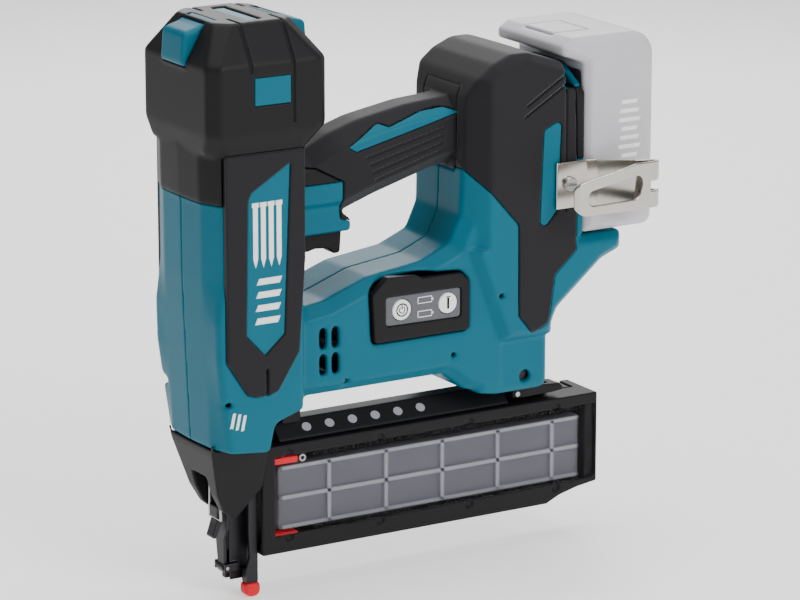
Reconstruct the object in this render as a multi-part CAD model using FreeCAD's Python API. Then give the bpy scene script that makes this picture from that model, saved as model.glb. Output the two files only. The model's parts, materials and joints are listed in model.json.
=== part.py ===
"""Cordless brad nailer as an assembly of separate pieces, in millimetres.

Origin: the point where the nose tip touches the work, on the drive axis.
+Z runs up the drive axis, +X towards the handle and battery, -Y is the tool's left side.
"""
import FreeCAD, Part
import math
import os

V = FreeCAD.Vector
X_AXIS = V(1, 0, 0)
Y_AXIS = V(0, 1, 0)

# ---------------------------------------------------------------- driving dimensions
SKIN = 2.0                   # depth of the soft skins and raised panels in the shell
WALL = 4.6                   # shell wall, skin included
COLUMN_HALF = 38.0           # half width of the upright column
MOTOR_HALF = 31.0            # half width of the motor barrel
HANDLE_HALF = 17.5           # half width of the handle
REAR_HALF = 37.5             # half width of the battery foot
FOOT_HALF = 30.0             # half width of the lower rear block
REAR_FLAT_X = 104.5          # where the 45 degree flats of the battery foot would meet on the middle plane
COLUMN_TOP = 262.0           # the shell stops here, inside the cap
CAP_BOTTOM = 234.0           # lower edge of the black cap on the column
CAP_SIDE_BOTTOM = 273.0      # where the cap reaches its full size
CAP_SIDE_TOP = 310.5
CAP_TOP = 332.0
CAP_FRONT = -38.4
CAP_BACK = 35.8
CAP_Y = 41.0

MOTOR_Z = 146.0              # motor and lifter axis height
LIFTER_Y = 15.5              # lifter axis offset from the drive axis
PIN_CIRCLE = 15.0            # lifter pin pitch radius
PIN_COUNT = 9
PIN_STEP = 36.0              # degrees between lifter pins
PIN_R = 1.8
TOOTH_PITCH = PIN_CIRCLE * math.radians(PIN_STEP)
PITCH_LINE_Y = LIFTER_Y - PIN_CIRCLE
PINION_TEETH = 10
GEAR_TEETH = 21
MODULE = 1.0
BORE_R = 19.0                # air cylinder bore
CYLINDER_BOTTOM = 168.0
CYLINDER_TOP = 290.0
PISTON_BOTTOM = 251.0
BLADE_TIP = 83.0

MAG_HALF = 16.0              # magazine half width
MAG_FRONT = 4.8
MAG_END = 229.6
MAG_BOTTOM = 24.2
MAG_TOP = 87.3
WINDOW = (13.5, 222.0, 34.0, 80.6)
RIB_FIRST = 51.5
RIB_STEP = 37.6
RIB_COUNT = 5

BATTERY_FACE = 204.8         # battery interface plane
BATTERY_END = 252.8
BATTERY_HALF = 37.7
BATTERY_BOTTOM = 189.7
BATTERY_TOP = 303.4

HOOK_HOLE = (193.0, 221.0)   # belt hook screw, X and Z, the same on both sides
HOOK_THREAD_R = 2.0


# ---------------------------------------------------------------- shape helpers
def at_xz(y):
    return lambda a, b: V(a, y, b)


def at_xy(z):
    return lambda a, b: V(a, b, z)


def at_yz(x):
    return lambda a, b: V(x, a, b)


def outline(corners, place):
    """Closed wire through corners (a, b) or (a, b, radius); a radius makes the corner an arc."""
    points = [V(c[0], c[1], 0) for c in corners]
    radii = [c[2] if len(c) > 2 else 0 for c in corners]
    count = len(points)
    starts = []
    ends = []
    arcs = []
    for i in range(count):
        corner = points[i]
        back = (points[i - 1] - corner).normalize()
        ahead = (points[(i + 1) % count] - corner).normalize()
        if radii[i] == 0:
            starts.append(corner)
            ends.append(corner)
            arcs.append(None)
            continue
        half = back.getAngle(ahead) / 2
        reach = radii[i] / math.tan(half)
        middle = (back + ahead).normalize() * (radii[i] / math.sin(half) - radii[i])
        starts.append(corner + back * reach)
        ends.append(corner + ahead * reach)
        arcs.append(corner + middle)
    edges = []
    for i in range(count):
        if arcs[i] is not None:
            spots = [place(p.x, p.y) for p in (starts[i], arcs[i], ends[i])]
            edges.append(Part.Arc(*spots).toShape())
        following = starts[(i + 1) % count]
        if ends[i].distanceToPoint(following) > 1e-6:
            line = Part.LineSegment(place(ends[i].x, ends[i].y), place(following.x, following.y))
            edges.append(line.toShape())
    return Part.Wire(edges)


def prism_y(corners, low, high):
    """Side outline in X and Z, extruded across the tool from Y = low to high."""
    return Part.Face(outline(corners, at_xz(low))).extrude(V(0, high - low, 0))


def prism_z(corners, low, high):
    return Part.Face(outline(corners, at_xy(low))).extrude(V(0, 0, high - low))


def prism_x(corners, low, high):
    return Part.Face(outline(corners, at_yz(low))).extrude(V(high - low, 0, 0))


def box(x0, x1, y0, y1, z0, z1):
    return Part.makeBox(x1 - x0, y1 - y0, z1 - z0, V(x0, y0, z0))


def rod(radius, start, end):
    """Round bar from one point to another."""
    along = V(*end) - V(*start)
    return Part.makeCylinder(radius, along.Length, V(*start), along)


def ring(outer, inner, start, end):
    return rod(outer, start, end).cut(rod(inner, start, end))


def fuse(shapes):
    return shapes[0].fuse(shapes[1:]).removeSplitter()


def loft(wires):
    return Part.makeLoft(wires, True, True)


def slab(corners, half, inset, soft):
    """Slab across the tool: the side outline shrunk by inset, its long edges chamfered by soft."""
    wire = outline(corners, at_xz(0))
    if inset > 0:
        wire = wire.makeOffset2D(-inset, 2)
    depth = half - inset
    face = Part.Face(wire)
    face.translate(V(0, -depth, 0))
    solid = face.extrude(V(0, 2 * depth, 0))
    if soft == 0:
        return solid
    rims = [e for e in solid.Edges if e.BoundBox.YLength < 0.01]
    return solid.makeChamfer(soft, rims)


def mirrored(shape):
    return shape.mirror(V(0, 0, 0), Y_AXIS)


def half_space(side):
    """Block that keeps one side of the tool: -1 left, +1 right."""
    return box(-100, 300, min(0, side * 100), max(0, side * 100), -50, 400)


def plan(front, corner_x, corner_y, half, nose_y, back, back_half, back_flat, z):
    """Column section: a shallow ridge in front, chamfered corners, a stepped back."""
    side_x = corner_x + (half - corner_y) * 0.45
    corners = [(front, 0), (front + 0.8, -nose_y), (corner_x, -corner_y), (side_x, -half),
               (back_flat, -half), (back, -back_half), (back, back_half), (back_flat, half),
               (side_x, half), (corner_x, corner_y), (front + 0.8, nose_y)]
    return outline(corners, at_xy(z))


# ---------------------------------------------------------------- side outlines
COLUMN_SIDE = [(-45, COLUMN_TOP), (-45, 100), (-34, 94), (0, 90.5, 2), (3, 107, 4), (18, 112),
               (40, 118), (40, COLUMN_TOP)]
MOTOR_SIDE = [(12, 116), (118, 116), (132, 105), (152, 99.4), (160, 99.4), (160, 186),
              (146, 238), (130, 238), (129, 207), (122, 192), (104, 184.5), (69, 180),
              (41, 170), (12, 166)]
HANDLE_SIDE = [(8, 214), (57, 214), (68, 217.7, 20), (82, 222.5), (121, 233.5), (140, 236),
               (140, 274), (104, 271.5, 60), (72, 266, 60), (53, 260, 20), (36, 252), (8, 250)]
REAR_SIDE = [(130, 190), (131, 275, 8), (136, 285, 8), (146, 293, 8), (158, 298, 10), (169, 298, 8),
             (188, 291.5), (204, 285), (204, 188.5), (233, 188.5), (233, 177), (220, 172),
             (190, 147), (186.5, 139), (186.5, 132), (152, 132)]
FOOT_SIDE = [(140, 101.5), (152, 99.4), (186.5, 99.4, 5), (186.5, 168), (140, 168)]
TRIGGER_HOOD = [(12, 240), (36, 243), (57, 233, 3), (57, 217, 2), (65, 211, 3), (65, 204), (12, 204)]
GRIP_MASK = [(20, 245), (40, 243.5), (57.5, 234), (57.5, 212), (70, 208), (128, 226), (134, 240),
             (134, 290), (20, 290)]
REAR_MASK = [(134, 230), (160.5, 200.5, 4), (161, 147), (170.7, 135), (181.5, 141, 2),
             (185.3, 168), (200.5, 181.5), (201, 189), (198, 276), (192, 305), (134, 305)]
REAR_INLAY = [(189, 258.5, 3), (177, 253, 3), (174.5, 192.5, 3), (186.5, 206)]
FRAME_MASK = [(-29.3, 262), (-29, 147), (-16, 127, 2), (-10.5, 125.2), (-2.5, 125.2), (2.5, 127),
              (16, 148), (20, 200), (20, 262)]
PLATE_MASK = [(11, 255), (-13.6, 240.2, 3), (-15.5, 236), (-17.2, 160.5), (-5.7, 148.2), (6.8, 159)]


# ---------------------------------------------------------------- shell
# column sections from the bottom up: height, front ridge X, corner X, corner Y, half width
COLUMN_SECTIONS = [(88, -31.8, -26.5, 31, 35.5), (118, -33, -30.2, 33, 37.5), (145, -34.2, -33.4, 34.5, 38),
                   (168, -35.2, -33.8, 34.5, 38), (190, -35.9, -31, 33.5, 38), (COLUMN_TOP, -36.3, -31, 33.5,
                                                                                38)]


def column_body(inset):
    """The upright column: straight facets between a few sections, fuller at motor height."""
    wires = [plan(front + inset, corner_x + inset * 0.8, corner_y - inset * 0.8, half - inset, 22 - inset / 2,
                  27 - inset, 25, 19.5, z) for z, front, corner_x, corner_y, half in COLUMN_SECTIONS]
    return loft(wires).common(slab(COLUMN_SIDE, 60, inset, 0))


def rear_block(inset):
    """The battery foot, its two front upright edges cut back to broad flats."""
    solid = slab(REAR_SIDE, REAR_HALF, inset, max(0, 5 - inset))
    start = REAR_FLAT_X + inset * 1.414
    flat = prism_z([(120, 120 - start), (start + 45, 45), (120, 45)], 188 - inset, 320)
    return solid.cut(flat).cut(mirrored(flat))


def tool_body(inset):
    """The whole two-part casing as one solid, shrunk by inset."""
    blocks = [column_body(inset),
              slab(MOTOR_SIDE, MOTOR_HALF, inset, max(0, 7 - inset)),
              slab(HANDLE_SIDE, HANDLE_HALF, inset, 9 - inset),
              rear_block(inset),
              slab(FOOT_SIDE, FOOT_HALF, inset, max(0, 3 - inset)),
              slab(TRIGGER_HOOD, 14, inset, 0)]
    return fuse(blocks)


def rear_rim():
    """Cuts the top corners of the battery foot to slope down to each side."""
    return prism_x([(-60, 262), (-38, 274), (-14, 288.5), (-8, 310), (-60, 310)], 192, 240)


outer = tool_body(0)
skin_base = tool_body(SKIN)
cavity = tool_body(WALL)
rim = rear_rim()
rim_edge = [(-REAR_HALF, 188.5), (-REAR_HALF, 273), (-14, 287.4), (14, 287.4), (REAR_HALF, 273),
            (REAR_HALF, 188.5)]
flange = prism_x(rim_edge, 200, BATTERY_FACE)
outer = outer.cut(rim).cut(mirrored(rim)).fuse(flange)
skin = outer.cut(skin_base)
shell = outer.cut(cavity)

grip_zone = prism_y(GRIP_MASK, -HANDLE_HALF, HANDLE_HALF)
rear_face = prism_y([(126, 239), (134, 230), (134, 305), (126, 305)], -60, 60)
rear_zone = prism_y(REAR_MASK, -60, 60).fuse(rear_face.cut(grip_zone))
grip_inlay_zone = prism_y([(61, 252.5), (82, 263.5), (88, 261, 2), (112.4, 268), (114, 272), (134, 265),
                           (66, 249.5)], -HANDLE_HALF, HANDLE_HALF)
rear_inlay_zone = prism_y(REAR_INLAY, -60, 60)
frame_zone = prism_y(FRAME_MASK, -60, 60)
plate_zone = prism_y(PLATE_MASK, -60, 60)

grip_inlays = skin.common(grip_inlay_zone).cut(box(0, 200, -12, 12, 0, 400))
grip_overmould = skin.common(grip_zone).cut(frame_zone).cut(grip_inlays)
rear_skin = skin.common(rear_zone).cut(box(199.9, 300, -60, 60, 0, 400))
rear_inlays = rear_skin.common(rear_inlay_zone)
rear_skin = rear_skin.cut(rear_inlays)
side_skin = skin.common(frame_zone).cut(box(-60, 60, -36, 36, 0, 400))
casing = shell.cut(grip_overmould).cut(grip_inlays).cut(rear_skin).cut(rear_inlays).cut(side_skin)

frame_slot = box(-5.2, -3.6, -60, 60, 120, 141)
frame_panel = prism_y(FRAME_MASK, -(COLUMN_HALF + 2), -36).cut(frame_slot).cut(box(-60, 60, -60, 60, 261.5,
                                                                                   300))
plate_panel = prism_y(PLATE_MASK, -(COLUMN_HALF + 1.2), -36)
badge_frame_left = frame_panel.cut(plate_zone)
badge_plate_left = plate_panel
casing = casing.cut(frame_panel).cut(mirrored(frame_panel))

# openings in the casing for the pieces that pass through it
blade_exit = box(-14, 4.6, -10, 10, 85, 118)
cylinder_bore = rod(BORE_R + 2.5, (0, 0, 160), (0, 0, 300))
switch_bay = box(38, 64, -6.5, 6.5, 200, 214).fuse(box(45.6, 70.4, -6.6, 6.6, 212, 230.4))
gear_bay = box(14, 37, -16, 29, 126, 163)
panel_bay = prism_y([(66.5, 171, 2), (77, 180.2, 2), (126, 176.6, 2), (131.3, 171, 2), (131.3, 142, 2),
                     (68, 142, 2)],
                    -60, -25)
terminal_bay = box(198, 210, -16, 16, 196, 264)
motor_slots = [box(x, x + 3.6, -60, 60, z, z + 12) for x in (34.8, 42.8) for z in (128.5, 143.5)]
dial_slot = box(0, 19, 12, 60, 100.6, 110.6)
arm_slot = box(-2.5, 20, -11, 26, 85, 100.6)
for gap in [blade_exit, cylinder_bore, gear_bay, switch_bay, panel_bay, terminal_bay, dial_slot,
            arm_slot] + motor_slots:
    casing = casing.cut(gap)

# casing screws: X, Z and how far the boss reaches to each side
SCREWS = [(-26.5, 122, 30), (52, 123, 26), (122, 128, 28), (170.5, 108.6, 27), (150, 160, 34),
          (142, 272, 30), (178, 284, 34)]
for x, z, reach in SCREWS:
    casing = casing.fuse(ring(3.6, 1.75, (x, -reach, z), (x, reach, z)))
    casing = casing.cut(rod(1.75, (x, -60, z), (x, 60, z)))
    casing = casing.cut(rod(3.4, (x, reach - 4, z), (x, 60, z)))
hex_pocket = Part.Face(Part.makePolygon([V(170.5 + 3.6 * math.cos(math.radians(60 * i)), -40,
                                          108.6 + 3.6 * math.sin(math.radians(60 * i))) for i in range(7)]))
casing = casing.cut(hex_pocket.extrude(V(0, 16, 0)))
HOOK_BOSS = rod(5, (HOOK_HOLE[0], -REAR_HALF, HOOK_HOLE[1]), (HOOK_HOLE[0], REAR_HALF, HOOK_HOLE[1]))
casing = casing.fuse(HOOK_BOSS)
for side in (-1, 1):
    mouth = (HOOK_HOLE[0], side * (REAR_HALF + 1), HOOK_HOLE[1])
    bottom = (HOOK_HOLE[0], side * (REAR_HALF - 10), HOOK_HOLE[1])
    casing = casing.cut(rod(HOOK_THREAD_R, mouth, bottom))
    rear_skin = rear_skin.cut(rod(5, mouth, bottom))
    rear_inlays = rear_inlays.cut(rod(5, mouth, bottom))

parts = {}
parts["housing_left"] = casing.common(half_space(-1))
parts["housing_right"] = casing.common(half_space(1))
parts["grip_overmould"] = grip_overmould.cut(cylinder_bore)
parts["grip_inlays"] = grip_inlays
parts["rear_overmould"] = rear_skin
parts["rear_inlays"] = rear_inlays
parts["badge_frame_left"] = badge_frame_left
parts["badge_frame_right"] = mirrored(badge_frame_left)
parts["badge_plates"] = Part.Compound([badge_plate_left, mirrored(badge_plate_left)])

# ---------------------------------------------------------------- screws through the casing
fasteners = []
for x, z, reach in SCREWS:
    shank = rod(1.6, (x, -reach, z), (x, reach - 4, z))
    head = rod(3.1, (x, reach - 4, z), (x, reach - 1.4, z))
    socket = rod(1.2, (x, reach - 3, z), (x, reach, z))
    fasteners.append(shank.fuse(head).cut(socket))
parts["housing_screws"] = Part.Compound(fasteners)


# ---------------------------------------------------------------- cap over the pressure chamber
def cap_section(x_front, x_back, half, corner, z):
    """Cap section: a rectangle with its corners cut off."""
    corners = [(x_front + corner, -half), (x_back - corner, -half), (x_back, -half + corner),
               (x_back, half - corner), (x_back - corner, half), (x_front + corner, half),
               (x_front, half - corner), (x_front, -half + corner)]
    return outline(corners, at_xy(z))


neck_low = plan(-37.0, -31.5, 34, COLUMN_HALF + 0.6, 22, 27.6, 25.5, 20, CAP_BOTTOM)
neck_high = plan(-37.4, -31.5, 34, COLUMN_HALF + 0.6, 22, 27.6, 25.5, 20, COLUMN_TOP + 1)
neck = loft([neck_low, neck_high])
flare = loft([cap_section(-37, 28, COLUMN_HALF + 0.6, 9.5, COLUMN_TOP),
              cap_section(CAP_FRONT, CAP_BACK, CAP_Y, 6, CAP_SIDE_BOTTOM)])
wall_part = loft([cap_section(CAP_FRONT, CAP_BACK, CAP_Y, 6, CAP_SIDE_BOTTOM),
                  cap_section(CAP_FRONT, CAP_BACK, CAP_Y, 6, CAP_SIDE_TOP)])
crown = loft([cap_section(CAP_FRONT, CAP_BACK, CAP_Y, 6, CAP_SIDE_TOP),
              cap_section(-26, 21, 28, 8, CAP_TOP)])
cap = fuse([neck, flare, wall_part, crown])
cap = cap.cut(box(-100, 100, -100, 100, CAP_BOTTOM - 10, COLUMN_TOP).common(column_body(0)))
cap = cap.cut(rod(33.6, (0, 0, COLUMN_TOP - 0.1), (0, 0, 309)))
handle_mouth = prism_y([(20, 214), (60, 214), (60, 265), (30, 257), (20, 255)], -19, 19)
cap = cap.cut(handle_mouth).cut(prism_y(FRAME_MASK, -60, -36)).cut(prism_y(FRAME_MASK, 36, 60))

side_marks = [box(-11.5, 11.3, min(s * CAP_Y, s * (CAP_Y - 1.2)), max(s * CAP_Y, s * (CAP_Y - 1.2)), 288,
                  303.7)
              for s in (-1, 1)]
front_wedge = prism_y([(-41, 308, 1), (-39.6, 326.5, 2), (-20, 332), (-20, 326), (-36, 308.5)], -13, 13)
rear_wedge = prism_y([(38.2, 308, 1), (36.8, 326.5, 2), (16, 332), (16, 326), (33.5, 308.5)], -13, 13)
top_slot = box(-4.5, 4.5, -21, 21, CAP_TOP - 2.4, CAP_TOP)
top_strip = box(-3.6, 3.6, -20, 20, CAP_TOP - 2.4, CAP_TOP - 0.8)
inlay_list = side_marks + [top_strip, front_wedge, rear_wedge]
for piece in inlay_list + [top_slot]:
    cap = cap.cut(piece)
parts["head_cap"] = cap
parts["cap_inlays"] = Part.Compound(inlay_list)

# ---------------------------------------------------------------- pressure chamber, cylinder, piston
chamber = rod(33.0, (0, 0, 263), (0, 0, 308)).cut(rod(30.5, (0, 0, 265.5), (0, 0, 305)))
chamber = chamber.cut(rod(BORE_R + 2.3, (0, 0, 262), (0, 0, 266)))
parts["pressure_chamber"] = chamber
cylinder = ring(BORE_R + 2.2, BORE_R, (0, 0, CYLINDER_BOTTOM), (0, 0, CYLINDER_TOP))
cylinder = cylinder.fuse(ring(BORE_R + 2.2, 7.5, (0, 0, CYLINDER_BOTTOM - 2.5), (0, 0, CYLINDER_BOTTOM)))
parts["cylinder"] = cylinder
parts["stop_bumper"] = ring(BORE_R - 0.3, 8.5, (0, 0, CYLINDER_BOTTOM + 0.2), (0, 0, CYLINDER_BOTTOM + 6))
seal_z = PISTON_BOTTOM + 6
piston = rod(BORE_R - 0.3, (0, 0, PISTON_BOTTOM), (0, 0, PISTON_BOTTOM + 12))
piston = piston.cut(ring(BORE_R, BORE_R - 2.4, (0, 0, seal_z - 1.6), (0, 0, seal_z + 1.6)))
piston = piston.cut(box(-1.1, 1.1, -5.1, 5.1, PISTON_BOTTOM - 1, PISTON_BOTTOM + 5))
parts["piston"] = piston
parts["piston_seal"] = ring(BORE_R - 0.06, BORE_R - 2.3, (0, 0, seal_z - 1.5), (0, 0, seal_z + 1.5))

# ---------------------------------------------------------------- driver blade with lifting teeth
BLADE_T = 1.0                # half thickness
blade = box(-BLADE_T, BLADE_T, -5, PITCH_LINE_Y - 2.2, 139, PISTON_BOTTOM + 4.9)
blade = blade.fuse(box(-BLADE_T, BLADE_T, -5, 1.6, 139, 143.4))
blade = blade.fuse(box(-BLADE_T * 0.6, BLADE_T * 0.6, -1.6, 1.6, BLADE_TIP, 140))
for i in range(PIN_COUNT):
    z = MOTOR_Z + TOOTH_PITCH * (i + 0.5)
    root = PITCH_LINE_Y - 2.3
    tip = PITCH_LINE_Y + 1.4
    tooth = prism_x([(root, z - 2.0), (tip, z - 0.9), (tip, z + 0.9), (root, z + 2.0)], -BLADE_T, BLADE_T)
    blade = blade.fuse(tooth)
parts["driver_blade"] = blade.removeSplitter()

# ---------------------------------------------------------------- lifter and gear pair
wheel = rod(PIN_CIRCLE + 2.2, (3, LIFTER_Y, MOTOR_Z), (7, LIFTER_Y, MOTOR_Z))
for i in range(PIN_COUNT):
    angle = math.radians(PIN_STEP * i)
    y = LIFTER_Y - PIN_CIRCLE * math.cos(angle)
    z = MOTOR_Z + PIN_CIRCLE * math.sin(angle)
    wheel = wheel.fuse(rod(PIN_R, (-1.6, y, z), (3, y, z)))
wheel = wheel.cut(rod(3, (0, LIFTER_Y, MOTOR_Z), (10, LIFTER_Y, MOTOR_Z)))
parts["lifter_wheel"] = wheel
parts["lifter_shaft"] = rod(3, (3, LIFTER_Y, MOTOR_Z), (36, LIFTER_Y, MOTOR_Z))


def spur_gear(teeth, y, x0, x1, first_angle):
    """Straight gear on an axis along X, its first tooth at first_angle from +Y towards +Z."""
    pitch_r = MODULE * teeth / 2
    root_r = pitch_r - 1.2 * MODULE
    tip_r = pitch_r + 0.9 * MODULE
    solid = rod(root_r, (x0, y, MOTOR_Z), (x1, y, MOTOR_Z))
    step = 2 * math.pi / teeth
    for i in range(teeth):
        middle = first_angle + i * step
        corners = []
        for radius, share in ((root_r - 0.2, -0.3), (pitch_r, -0.21), (tip_r, -0.11),
                              (tip_r, 0.11), (pitch_r, 0.21), (root_r - 0.2, 0.3)):
            turn = middle + share * step
            corners.append((y + radius * math.cos(turn), MOTOR_Z + radius * math.sin(turn)))
        solid = solid.fuse(prism_x(corners, x0, x1))
    return solid


gear = spur_gear(GEAR_TEETH, LIFTER_Y, 22.5, 29.5, math.pi + math.pi / GEAR_TEETH)
gear = gear.cut(rod(3, (20, LIFTER_Y, MOTOR_Z), (32, LIFTER_Y, MOTOR_Z)))
parts["lifter_gear"] = gear
bracket = box(16, 19, -14, 28, 131, 161).cut(rod(3.06, (10, LIFTER_Y, MOTOR_Z), (20, LIFTER_Y, MOTOR_Z)))
bracket = bracket.cut(rod(6.1, (10, 0, MOTOR_Z), (20, 0, MOTOR_Z)))
back_plate = box(32, 35, -14, 28, 131, 161).cut(rod(3.06, (30, LIFTER_Y, MOTOR_Z), (40, LIFTER_Y, MOTOR_Z)))
back_plate = back_plate.cut(rod(6.1, (30, 0, MOTOR_Z), (40, 0, MOTOR_Z)))
tie = box(16, 35, -14, 28, 127.5, 131)
parts["gear_bracket"] = fuse([bracket, back_plate, tie])

# ---------------------------------------------------------------- motor
pinion = spur_gear(PINION_TEETH, 0, 21.5, 30.5, 0)
shaft = rod(2.5, (16, 0, MOTOR_Z), (118, 0, MOTOR_Z))
magnet_core = rod(12, (62, 0, MOTOR_Z), (100, 0, MOTOR_Z))
parts["rotor"] = fuse([pinion, shaft, magnet_core])
stator = ring(24.5, 12.7, (60, 0, MOTOR_Z), (102, 0, MOTOR_Z))
for i in range(6):
    angle = math.radians(60 * i + 30)
    slot_y = 17.5 * math.cos(angle)
    slot_z = MOTOR_Z + 17.5 * math.sin(angle)
    stator = stator.cut(rod(3.2, (59, slot_y, slot_z), (103, slot_y, slot_z)))
parts["stator"] = stator
fan = ring(7, 2.5, (44, 0, MOTOR_Z), (54, 0, MOTOR_Z)).fuse(ring(18.5, 7, (52.6, 0, MOTOR_Z),
                                                                 (54, 0, MOTOR_Z)))
for i in range(11):
    blade_box = box(45, 53, -0.7, 0.7, MOTOR_Z + 6.5, MOTOR_Z + 18)
    blade_box.rotate(V(0, 0, MOTOR_Z), X_AXIS, i * 360 / 11)
    fan = fan.fuse(blade_box)
parts["motor_fan"] = fan
bearings = [ring(6, 2.56, (x, 0, MOTOR_Z), (x + 3.2, 0, MOTOR_Z)) for x in (16, 32, 108)]
parts["motor_bearings"] = Part.Compound(bearings)
parts["circuit_board"] = box(142, 181, -24, 24, 140, 142).fuse(box(148, 174, -18, 18, 142, 150))

# ---------------------------------------------------------------- nose
nose_side = [(-32, 97), (-31, 90), (-24, 64, 4), (-19, 54, 4), (-10.6, 47), (4.6, 66), (4.6, 97)]
cover_outer = prism_y(nose_side, -30, 30).common(prism_x([(-26, 97), (26, 97), (23, 86), (12, 46), (-12, 46),
                                                          (-23, 86)], -40, 10))
cover_core = box(-15.8, 5, -11.2, 11.2, 40, 100)
front_gap = box(-40, -15, -8.2, 8.2, 40, 74)
parts["nose_cover"] = cover_outer.cut(cover_core).cut(front_gap).cut(column_body(0))

HINGE = (-11.6, 17.0)
LATCH = (-15.6, 52.0)
guide = box(-10.2, 4.5, -8, 8, 64, 96).fuse(prism_x([(-2.6, 9), (6, 9), (8, 30), (8, 64), (-2.6, 64)], -9.4,
                                                    4.5))
guide = guide.cut(box(-20, 1.3, -2.1, 2.1, 0, 64.5)).cut(box(-1.4, 1.3, -6, 3.6, 60, 100))
guide = guide.cut(box(1, 10, -1.1, 1.1, 26, 84))
knuckle_room = rod(3.4, (HINGE[0], -2.7, HINGE[1]), (HINGE[0], 5.9, HINGE[1]))
lug_left = box(-13.2, -7.5, -5, -2.8, 14.5, 19.5).fuse(box(-8.2, -4, -5, -2.3, 14.5, 19.5))
lug_right = box(-13.2, 0, 6, 8, 14.5, 19.5)
catch = box(-14.4, -10.2, -3.5, 3.5, 67, 72).fuse(box(-17.8, -14.4, -3.5, 3.5, 68.6, 72))
guide = guide.cut(knuckle_room).fuse([lug_left, lug_right, catch])
guide = guide.cut(rod(1.0, (HINGE[0], -20, HINGE[1]), (HINGE[0], 20, HINGE[1])))
parts["driver_guide"] = guide
parts["nose_hinge_pin"] = rod(1.0, (HINGE[0], -4.9, HINGE[1]), (HINGE[0], 7.9, HINGE[1]))

door = prism_x([(-2.6, 14), (5.6, 14), (5.6, 21), (7.6, 34), (7.6, 62), (-6, 62), (-6, 40), (-2.6, 34)],
               -12.6, -10.6)
door = door.fuse(rod(2.2, (HINGE[0], -2.4, HINGE[1]), (HINGE[0], 5.6, HINGE[1])))
door = door.fuse(box(-10.7, -1.5, -1.9, 1.9, 27, 62))
ears = [box(LATCH[0] - 1.6, -12.6, min(s * 4.2, s * 5.6), max(s * 4.2, s * 5.6), LATCH[1] - 2, LATCH[1] + 2)
        for s in (-1, 1)]
door = door.fuse(ears).cut(rod(0.95, (LATCH[0], -8, LATCH[1]), (LATCH[0], 8, LATCH[1])))
parts["nose_plate"] = door.cut(rod(1.06, (HINGE[0], -10, HINGE[1]), (HINGE[0], 10, HINGE[1])))

lever_corners = [(-1.8, 2, 1), (1.6, 2, 1), (1.2, -8), (-2.6, -17, 1), (-5.0, -16, 1), (-2.0, -7)]
lever = prism_y([(LATCH[0] + c[0], LATCH[1] + c[1]) + tuple(c[2:]) for c in lever_corners], -3.9, 3.9)
lever = lever.fuse(rod(0.9, (LATCH[0], -5.6, LATCH[1]), (LATCH[0], 5.6, LATCH[1])))
WIRE = (LATCH[0] - 0.8, LATCH[1] - 5.5)
WIRE_TOP = 67.0
WIRE_HALF = 6.4
parts["latch_lever"] = lever.cut(rod(0.88, (WIRE[0], -8, WIRE[1]), (WIRE[0], 8, WIRE[1])))
loop = [rod(0.8, (WIRE[0], s * WIRE_HALF, WIRE[1]), (WIRE[0], s * WIRE_HALF, WIRE_TOP)) for s in (-1, 1)]
loop += [rod(0.8, (WIRE[0], -WIRE_HALF, z), (WIRE[0], WIRE_HALF, z)) for z in (WIRE[1], WIRE_TOP)]
loop += [Part.makeSphere(0.8, V(WIRE[0], s * WIRE_HALF, z)) for s in (-1, 1) for z in (WIRE[1], WIRE_TOP)]
parts["latch_wire"] = fuse(loop)

# ---------------------------------------------------------------- contact arm, tip, spring, depth dial
arm_bar = prism_y([(-1.2, 88), (-1.2, 40), (-0.5, 24), (-2.6, 17), (-2.6, 8.2), (4.6, 8.2), (4.6, 88)],
                  -11.0, -8.6)
arm_bar = arm_bar.fuse(prism_y([(-2.6, 17), (-2.6, 8.2), (4.8, 8.2), (4.8, 15)], -8.6, -4.6))
cross_plate = box(5.2, 14, -11, 26, 88, 90.4).fuse(box(-1.2, 14, -11, -8.6, 88, 90.4))
dial_hole = rod(2.6, (9.5, 20, 80), (9.5, 20, 95))
parts["contact_arm"] = fuse([arm_bar, cross_plate]).cut(dial_hole)
tip_shape = prism_y([(-3.6, 8.4, 1), (-3.6, 2.0, 2), (-1.0, 0, 1), (4.0, 0, 1), (6.0, 2.4, 2), (6.0, 8.4, 1)],
                    -12.0, -3.4)
tip_pocket = prism_y([(-2.6, 8.2), (-2.6, 9), (4.8, 9), (4.8, 8.2)], -11, -4.6)
parts["contact_tip"] = tip_shape.cut(tip_pocket)
dial = rod(7.5, (9.5, 20, 101.4), (9.5, 20, 109.8))
for i in range(18):
    angle = math.radians(20 * i)
    dial = dial.cut(rod(0.8, (9.5 + 7.6 * math.cos(angle), 20 + 7.6 * math.sin(angle), 100),
                        (9.5 + 7.6 * math.cos(angle), 20 + 7.6 * math.sin(angle), 112)))
dial = dial.fuse(rod(2.3, (9.5, 20, 87.9), (9.5, 20, 102)))
parts["depth_dial"] = dial


def coil(radius, wire, turns, centre, z0, z1):
    """Compression spring along Z: a round wire swept along a helix."""
    helix = Part.makeHelix((z1 - z0 - 2 * wire) / turns, z1 - z0 - 2 * wire, radius)
    start = V(radius, 0, 0)
    circle = Part.Wire([Part.makeCircle(wire, start, Y_AXIS)])
    solid = Part.Wire(helix).makePipeShell([circle], True, True)
    solid.translate(V(centre[0], centre[1], z0 + wire))
    return solid


parts["contact_spring"] = coil(3.4, 0.4, 5, (9.5, 20), 90.6, 101.2)

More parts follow.
